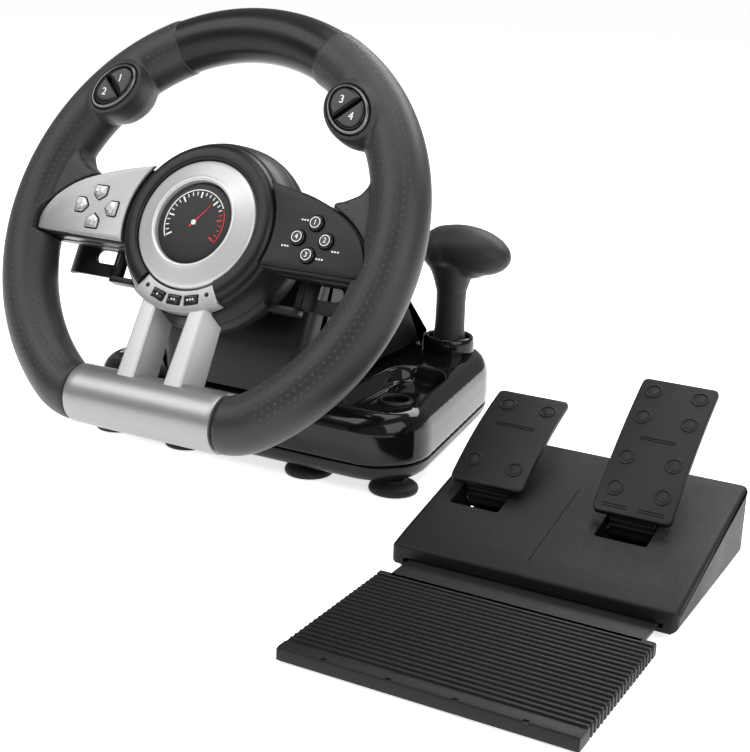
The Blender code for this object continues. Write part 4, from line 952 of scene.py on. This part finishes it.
def keys():
    for word, x, y, turn in dpad():
        body = "dpad_" + word
        key = plate("key", key_line(KEY_HALF, KEY_TIP), 6.6, 11.7, 0.7, 4, 0.35)
        put(body + "_cap", moved(key, at(x, y, 0, turn)), STEER, body, SILVER_KEY, body)
    for word, x, y, digit in face():
        body = "face_button_" + word
        profile = softened(
            [(0, 2), (4.5, 2), (4.5, 11.6), (3.9, 12.3), (3.0, 12.45), (0, 12.2)],
            [0, 0, 0.6, 0.5, 0.8, 0], 4,
        )
        put(body + "_cap", moved(turned("key", profile, 64), at(x, y, 0)), STEER, body, KEY, body)
        ring = turned("ring", softened(rect(2.7, 12.2, 3.15, 12.62), 0.05, 1), 48)
        mark = moved(numeral(digit, 4.2), at(0, 0, 12.45))
        put(body + "_mark", moved(together("mark", ring, mark), at(x, y, 0)), STEER, body, PRINT)
    small = []
    for _, x, y, digit in face():
        dx, dy = {"1": (-7.6, 1.2), "2": (7.0, -5.0), "3": (7.6, -1.0), "4": (-6.6, -5.4)}[digit]
        for k in range(3):
            bar = plate(
                "bar", [(0.55, -0.45), (0.55, 0.45), (-0.55, 0.45), (-0.55, -0.45)], 10.2, 10.42,
                0.02, 1,
            )
            small.append(moved(bar, at(x + dx + (k - 1) * 1.7, y + dy, 0)))
    on_wheel("panel_marks", together("marks", *small), PRINT)


def paddle(side, word):
    outline = [
        (-2, -2), (8, -6.6), (35, -6.6), (42.4, -10.8), (44, -8.6), (36.4, -3.6), (8, -3.6), (1, 2),
    ]
    outline = softened(outline, [1, 3, 5, 1.2, 1.2, 5, 3, 1], 5)
    mesh = moved(plate("paddle", outline, 4.0, 32.0, 0.7), XZY)
    slots = []
    for low, high in ((-11.5, -8.3), (-24.0, -15.5)):
        r = (high - low) / 2
        line = [(9, low), (24 - r, low)] + arc(
            r, -math.pi / 2, math.pi / 2, 12, (24 - r, (low + high) / 2),
        )[1:-1] + [(24 - r, high), (9, high)]
        slots.append(plate("slot", line, -30, 30, 0.02, 1))
    mesh = carved("paddle", mesh, *slots)
    knuckle = moved(
        turned("knuckle", softened(rect(0, 4.1, 2.8, 31.9), [0, 0.5, 0.5, 0], 3), 32), XZY,
    )
    pin = moved(turned("pin", rect(0, 2.2, 1.2, 34.8), 20), XZY)
    mesh = together("paddle", mesh, knuckle, pin)
    matrix = STEER @ Matrix.Translation((side * 62, 0, -17)) @ Matrix.Diagonal((side, 1, 1, 1))
    put("shift_paddle_" + word, mesh, matrix, "paddle_" + word, BLACK, "paddle_" + word)


# Base


def rounded(half, low, high, corner, count=14, middle=0.0):
    """A rectangle with round corners."""
    q = math.pi / 2
    return (
        arc(corner, -q, 0, count, (middle + half - corner, low + corner))
        + arc(corner, 0, q, count, (middle + half - corner, high - corner))
        + arc(corner, q, 2 * q, count, (middle - half + corner, high - corner))
        + arc(corner, 2 * q, 3 * q, count, (middle - half + corner, low + corner))
    )


def narrowing(y):
    """The share by which the base has drawn in at this depth."""
    return TAPER * (y - BASE_FRONT) / (BASE_REAR - BASE_FRONT)


def pocket_spot(x, y):
    """A point of the right pocket, straight beside the column and drawn in with the base's side."""
    share = (x - POCKET_NEAR) / (POCKET_FAR - POCKET_NEAR)
    return (x - share * POCKET_FAR * narrowing(y), y)


def base_rows(name, rows):
    """A solid from (height, inset) rows of the base's outline."""
    outline = [
        (x * (1 - narrowing(y)), y)
        for x, y in rounded(BASE_HALF, BASE_FRONT, BASE_REAR, 40)
    ]
    return loft(name, [[(x, y, z) for x, y in grown(outline, -inset)] for z, inset in rows])


def base_shell():
    body = base_rows(
        "body",
        (
            (18.2, 1.0), (18.5, 0.5), (20, 0.2), (28, 0), (38, 0.5), (43, 1.9), (46.5, 4.4),
            (48.8, 7.6), (50, 12),
        ),
    )
    cuts = []
    half, middle = (POCKET_FAR - POCKET_NEAR) / 2, (POCKET_FAR + POCKET_NEAR) / 2
    pocket = rounded(half, POCKET_FRONT, POCKET_REAR, 15, 12, middle)
    for side in (-1, 1):
        rows = []
        for z, extra in ((40.6, -3.0), (41.3, -1.2), (44, 0.4), (47, 2.2), (50.2, 5.0), (60, 12)):
            shape = [pocket_spot(x, y) for x, y in grown(pocket, extra)]
            rows.append([(x, y, z) for x, y in flip(shape, side)])
        cuts.append(loft("pocket", rows))
    body = melted("body", 1.3, 5, carved("body", body, *cuts))
    holes = [
        moved(turned("hole", rect(0, 20, 8, 90), 40), at(side * CLAMP_HOLE[0], CLAMP_HOLE[1], 0))
        for side in (-1, 1)
    ]
    holes.append(moved(turned("hole", rect(0, 0, 13.4, 90), 48), at(*LEVER, 0)))
    hollow = base_rows("hollow", ((10, 3), (34, 3), (38, 8)))
    socket = plate("socket", rect(-12, 205, 12, 225), 21, 31, 0.05, 1)
    body = carved("body", body, hollow, socket, *holes)
    on_base("base_cover", body, GLOSS, "base_top_shell", angle=50)
    lips = []
    for side in (-1, 1):
        lip = turned(
            "lip",
            softened(
                [(8.1, 38.2), (8.1, 41.9), (9.4, 42.6), (11.4, 41.2), (11.4, 40.4)],
                [0, 0.6, 0.8, 0.6, 0], 3,
            ),
            56,
        )
        floor = turned("floor", rect(0, 37.5, 8.0, 38.0), 40)
        lips += [
            moved(lip, at(side * CLAMP_HOLE[0], CLAMP_HOLE[1], 0)),
            moved(floor, at(side * CLAMP_HOLE[0], CLAMP_HOLE[1], 0)),
        ]
    on_base("clamp_seats", together("lips", *lips), UNDER)


def base_under():
    body = base_rows(
        "under", ((8, 8), (8.6, 5.2), (10.2, 3.2), (13.5, 1.4), (17.2, 0.7), (17.8, 1.2)),
    )
    on_base("base_pan", body, BLACK, "base_bottom_cover")


def column():
    """The column between the base and the hub, with the collar round the shaft."""
    def spot(v, w):
        return (
            v * math.sin(TILT) - w * math.cos(TILT),
            HUB_HEIGHT + v * math.cos(TILT) + w * math.sin(TILT),
        )

    outline = [(26, 50.4), (186, 50.4), spot(42, -140), spot(42, -50), spot(-42, -50)]
    outline = softened(outline, [2, 2, 26, 12, 10], 8)
    rows = rounding(-COLUMN_HALF, 10, 8)
    rows += [(-x, inset) for x, inset in reversed(rows)]
    shape = []
    for x, inset in rows:
        shape.append([(x, max(y, 0), max(z, 50.4)) for y, z in grown(outline, -inset)])
    body = loft("column", shape)
    collar = turned(
        "collar",
        softened(
            [(16, -52), (34, -52), (33, -48.6), (30, -46.4), (16, -45.6)], [0, 0, 1.5, 1.5, 0.5], 4,
        ),
        72,
    )
    frame_to_base = BASE.inverted() @ STEER
    body = together("column", body, moved(collar, frame_to_base))
    on_base("column_cover", body, BLACK, "column_shell")


def cups():
    names = ("front_left", "front_right", "inner_left", "inner_right", "rear_left", "rear_right")
    places = [(s * x, y) for x, y in ((102, 47), (45, 45), (72, 188)) for s in (-1, 1)]
    profile = [
        (0, 17), (4, 17), (4, 7.8), (6.4, 7.8), (7, 7.5), (7.2, 6.6), (9.2, 5.7), (13.2, 4.7), (14.7, 3.2),
        (15, 1.6), (14.5, 0.3), (13.6, 0), (12, 0), (9, 2), (0, 3),
    ]
    shape = softened(profile, [0, 0, 0, 0.3, 0.4, 1, 1, 1.5, 1, 0.8, 0.5, 0.3, 0.8, 2, 0], 4)
    for word, (x, y) in zip(names, places):
        node = "suction_cup_" + word
        on_base("cup_" + word, moved(turned("cup", shape, 64), at(x, y, 0)), RUBBER, node)


def lever():
    stem = [
        (0, 60), (10.4, 60), (10.2, 44), (9.8, 30), (10.0, 16), (10.4, 8.2), (11.6, 4.6), (12.5, 1),
        (12.4, -3), (10.6, -6.6), (6, -10), (0, -11),
    ]
    base_part = turned("stem", softened(stem, 2.0, 4), 48)
    shape = bmesh.new()
    for dx, dz, size in (
        (9.5, 66.6, (30.0, 19.4, 15.6)), (-5.0, 65.0, (18.0, 18.6, 16.2)),
        (8.0, 64.0, (21.0, 17.0, 16.4)),
    ):
        place = Matrix.Translation((dx, 2.4, dz)) @ Matrix.Rotation(
            math.radians(7), 4, "Y",
        ) @ Matrix.Diagonal((*size, 1))
        bmesh.ops.create_uvsphere(shape, u_segments=48, v_segments=32, radius=1, matrix=place)
    head = bpy.data.meshes.new("head")
    shape.to_mesh(head)
    shape.free()
    neck = turned(
        "neck",
        softened([(0, 60), (18.5, 59), (12.8, 49), (10.2, 38), (0, 38)], [0, 4, 8, 4, 0], 5), 48,
    )
    body = melted("lever", 1.0, 12, base_part, head, neck)
    put(
        "lever_handle", moved(body, at(*LEVER, 52)), BASE, "gear_lever", KNOB, "gear_lever",
        "lever_knob", angle=70,
    )
    ring = [
        (16.7, 47.0), (17.1, 53), (16.9, 57.0), (16.2, 59.6), (15.1, 60.4), (14.0, 60.0),
        (13.4, 58.6), (13.4, 47.0),
    ]
    mesh = turned("collar", softened(ring, [0, 2, 2, 1.2, 1, 0.8, 0.8, 0], 4), 72)
    on_base("lever_ring", moved(mesh, at(*LEVER, 0)), GLOSS, "lever_collar")


# Pedals


def wedge(inset, foot=5.5):
    """The pedal box seen from its side, drawn in."""
    outline = [(0, foot), (BOX_DEPTH, foot), (BOX_DEPTH, 53.7), (17.5, 23.7), (0, 18.7)]
    outline = softened(outline, [0, 0, 3.5, 4, 2.2], 5)
    return grown(outline, -inset) if inset else outline


def pedal_box():
    rows = rounding(-BOX_HALF, 4.5, 6)
    rows += [(-x, inset) for x, inset in reversed(rows)]
    rings = [[(x, y, max(z, 5.5)) for y, z in wedge(inset)] for x, inset in rows]
    body = loft("box", rings)
    tools = [plate("mouth", rect(-86, -20, 86, 12), -20, 10.6, 0.05, 1)]
    for x in (BRAKE_X, THROTTLE_X):
        tools.append(
            plate("slot", softened(rect(x - 17.5, 53, x + 17.5, 119), 2, 4), 22, 90, 0.05, 1)
        )
    hollow = plate(
        "hollow", [(2.6, -20), (139.6, -20), (139.6, 49.8), (18.0, 20.7), (2.6, 16.2)], -92.4, 92.4,
        0.05, 1,
    )
    tools.append(moved(hollow, YZX))
    seam = plate("seam", [(0.22, -5), (0.22, 82), (-0.22, 82), (-0.22, -5)], -0.6, 40, 0.02, 1)
    lean = Matrix.Translation((-6, 17.5, 23.2)) @ Matrix.Rotation(math.atan2(30, 125), 4, "X")
    tools.append(moved(seam, lean))
    body = carved("box", body, *tools)
    put("pedal_cover", body, PEDAL, "pedal_unit", PEDAL_SKIN, "pedal_box_top", angle=25)


def pad_mesh(length):
    """A flat pad with rounded corners, cut across into rows; bend() bows it and sets it in the axle's
    frame.
    """
    outline = softened(rect(-PAD_WIDTH / 2, 0, PAD_WIDTH / 2, length), 4.5, 6)
    shape = bmesh.new()
    flat = plate("flat", outline, -4.5, 0, 0.9, 4)
    shape.from_mesh(flat)
    for i in range(1, 26):
        y = length * i / 26
        bmesh.ops.bisect_plane(
            shape, geom=shape.verts[:] + shape.edges[:] + shape.faces[:], plane_co=(0, y, 0),
            plane_no=(0, 1, 0),
        )
    made = bpy.data.meshes.new("pad")
    shape.to_mesh(made)
    shape.free()
    return made


def bend(mesh, length, slope):
    """Bows the pad and leans it back, with its foot in front of the axle."""
    along = Vector((0, math.cos(slope), math.sin(slope)))
    face_out = Vector((0, -along.z, along.y))
    for v in mesh.vertices:
        share = v.co.y / length
        bow = 3.5 * (1 - (2 * share - 1) ** 2)
        spot = Vector((0, *PAD_FOOT)) + along * v.co.y + face_out * (v.co.z + bow)
        v.co = Vector((v.co.x, spot.y, spot.z))


def pad_details(length, rings, bars):
    """The raised rings, dots and bars on a pad."""
    made = []
    for x, y in rings:
        section = softened(rect(4.6, -0.3, 5.9, 0.65), 0.3, 3)
        made.append(moved(turned("ring", section, 40), at(x, y, 0)))
        made.append(
            moved(
                turned(
                    "dot",
                    softened([(0, -0.3), (3.7, -0.3), (3.7, 0.3), (0, 0.36)], [0, 0, 0.2, 0], 3),
                    36,
                ),
                at(x, y, 0),
            )
        )
    for x, y, half in bars:
        for dy in (-0.9, 0.9):
            outline = softened(rect(x - half, y + dy - 0.5, x + half, y + dy + 0.5), 0.4, 3)
            made.append(plate("bar", outline, -0.3, 0.55, 0.2, 2))
    return made


def pedal(word, x, length, slope, rings, bars):
    """A pad and the arm behind it."""
    pad = together("pad", pad_mesh(length), *pad_details(length, rings, bars))
    bend(pad, length, slope)
    along = Vector((math.cos(slope), math.sin(slope)))
    face_out = Vector((-along.y, along.x))
    start = PAD_FOOT + along * 7 - face_out * 2.4
    end = PAD_FOOT + along * (length * 0.5) - face_out * 1.2
    arm = [(-7, -2), (-1, -7.6), (31, -6.5), (31, -2.5), (14, 2), tuple(end), tuple(start)]
    arm = moved(
        plate("arm", softened(arm, [2, 3, 1.5, 1.5, 5, 0.5, 0.5], 4), -ARM_HALF, ARM_HALF, 1.2),
        YZX,
    )
    ribs = []
    for i in range(4):
        t = 0.2 + 0.2 * i
        a = Vector((-7, -2)).lerp(start, t + 0.15)
        rib = plate(
            "rib", softened(rect(a.x - 1.6, a.y - 1.2, a.x + 1.2, a.y + 1.2), 0.6, 3),
            -ARM_HALF - 0.4, ARM_HALF + 0.4, 0.4,
        )
        ribs.append(moved(rib, YZX))
    where = Matrix.Translation((x, *AXLE))
    body = word + "_pedal"
    put(word + "_pad", moved(pad, where), PEDAL, body, PAD_SKIN, angle=35)
    put(
        word + "_arm", moved(together("arm", arm, *ribs), where), PEDAL, body, UNDER, body,
        slot="pedal_black", angle=35,
    )


def footrest():
    """The ribbed board for the heels with the tongue that slides into the box."""
    front, rear = REST_FRONT, REST_REAR
    tongue = plate("tongue", softened(rect(-82, rear - 4, 82, 44), [0, 0, 4, 4], 4), 5.7, 9.6, 0.4)
    count = 20
    start = front + 12
    pitch = (rear - 6 - start) / count
    side, dip = REST_HALF, REST_HALF - 1.3
    edge = [(side, front), (side, start - 1.5)]
    for i in range(count):
        y = start + pitch * i
        edge += [
            (side, y), (side, y + pitch * 0.5), (dip, y + pitch * 0.62), (dip, y + pitch * 0.9),
        ]
    edge += [(side, rear - 5), (side, rear)]
    outline = edge + [(-x, y) for x, y in reversed(edge)]
    slab = plate("slab", outline, 1.0, 8.5, 0.25, 2)
    pieces = [slab, tongue]
    for i in range(count):
        y = start + pitch * i
        section = softened(
            [(y, 8.0), (y + pitch * 0.78, 8.0), (y + pitch * 0.5, 9.9), (y + pitch * 0.12, 9.9)],
            [0, 0, 0.7, 0.7], 4,
        )
        pieces.append(moved(plate("rib", section, -89.2, 89.2, 0.3, 2), YZX))
    lip = plate("lip", softened(rect(-89.8, front + 0.4, 89.8, start - 3), 1.2, 4), 8.0, 9.4, 0.5)
    notch_tools = []
    for x in (-60, -20, 20, 60):
        notch_tools.append(
            plate("notch", rect(x - 1.6, front - 5, x + 1.6, front + 2.4), -5, 30, 0.02, 1)
        )
    pieces.append(carved("lip", lip, *notch_tools))
    back_strip = plate(
        "strip", softened(rect(-89.8, rear - 5.5, 89.8, rear - 0.3), 0.8, 3), 8.0, 9.6, 0.5,
    )
    pieces.append(back_strip)
    put("heel_rest", together("rest", *pieces), PEDAL, "footrest", REST_SKIN, "footrest", angle=30)


def small_nodes():
    """Materials on the frame's own pieces that keep their shape."""
    looks = {
        "steering_shaft": STEEL, "front_bearing": STEEL, "rear_bearing": STEEL, "pedal_axle": STEEL,
        "brake_spring": STEEL, "throttle_spring": STEEL, "button_board": BOARD, "steering_sensor": KEY,
        "sensor_gear": UNDER, "rear_socket": UNDER, "pedal_box_bottom": UNDER,
    }
    for word in ("front_left", "rear_left", "front_right", "rear_right"):
        looks["pedal_foot_" + word] = RUBBER
    for name, look in looks.items():
        for place in frame["nodes"][name].material_slots:
            place.material = look


def studio():
    mesh = raw(
        "floor", [(-30, -30, -0.0005), (30, -30, -0.0005), (30, 30, -0.0005), (-30, 30, -0.0005)],
        [(0, 1, 2, 3)],
    )
    floor = linked("studio_floor", mesh)
    m = Nodes("floor_paper", (0.93, 0.93, 0.93), 0.7)
    m.put("Emission Color", (1, 1, 1, 1))
    m.put("Emission Strength", 0.72)
    mesh.materials.append(
        m.finish(
            m.bump(m.noise(300.0), 0.00005, 0.2), None,
            m.blend(m.noise(3.0), (0.92, 0.92, 0.92), (0.94, 0.94, 0.94)),
        )
    )
    world = bpy.data.worlds.new("studio")
    world.use_nodes = True
    world.node_tree.nodes["Background"].inputs["Color"].default_value = (1, 1, 1, 1)
    world.node_tree.nodes["Background"].inputs["Strength"].default_value = 0.28
    bpy.context.scene.world = world
    lamps = (
        ("key", (-0.9, -0.9, 1.5), (0.0, 0.0, 0.12), (1.4, 1.1), 16),
        ("fill", (1.3, -0.5, 0.8), (0.0, 0.0, 0.15), (1.3, 1.1), 13),
        ("back", (0.3, 1.4, 1.3), (0.0, 0.0, 0.1), (1.6, 0.6), 20),
        ("top", (0.1, 0.0, 1.7), (0.05, 0.0, 0.0), (1.4, 1.0), 14),
    )
    for name, place, aim, size, power in lamps:
        light = bpy.data.lights.new(name, "AREA")
        light.shape = "RECTANGLE"
        light.size, light.size_y = size
        light.energy = power
        made = linked(name, light)
        made.location = place
        made.rotation_euler = (Vector(place) - Vector(aim)).to_track_quat("Z", "Y").to_euler()


def camera():
    azimuth, elevation, roll = math.radians(28.22), math.radians(16.85), math.radians(2.17)
    back = Vector(
        (
            math.sin(azimuth) * math.cos(elevation), -math.cos(azimuth) * math.cos(elevation),
            math.sin(elevation),
        )
    )
    right = Vector((math.cos(azimuth), math.sin(azimuth), 0))
    up = back.cross(right)
    right, up = (
        right * math.cos(roll) + up * math.sin(roll),
        up * math.cos(roll) - right * math.sin(roll),
    )
    data = bpy.data.cameras.new("camera")
    data.lens = 68.2
    data.sensor_width = 36
    data.clip_start = 0.01
    made = linked("camera", data)
    matrix = Matrix((right, up, back)).transposed().to_4x4()
    matrix.translation = ROOT + Vector((0.462, -0.652, 0.308))
    made.matrix_world = matrix
    bpy.context.scene.camera = made


camera()
studio()
small_nodes()
for side, word in ((-1, "left"), (1, "right")):
    grip(side, word)
    thumb_set(side, word)
    paddle(side, word)
top_arc()
bezel()
rear_shell()
ring_and_cap()
lower_frame()
menu_keys()
panels()
keys()
base_shell()
base_under()
column()
cups()
lever()
pedal_box()
brake_rings = [(-16, 18), (15, 16), (-14, 74), (16, 74)]
pedal("brake", BRAKE_X, 88.75, math.radians(28), brake_rings, [(0, 54, 14)])
throttle_rings = [(x, y) for y in (18, 42, 76, 99) for x in (-16, 16)]
pedal(
    "throttle", THROTTLE_X, 110.0, math.radians(37), throttle_rings,
    [(0, 59, 12), (-12, 5.5, 8.5), (12, 5.5, 8.5)],
)
footrest()

bpy.context.view_layer.update()
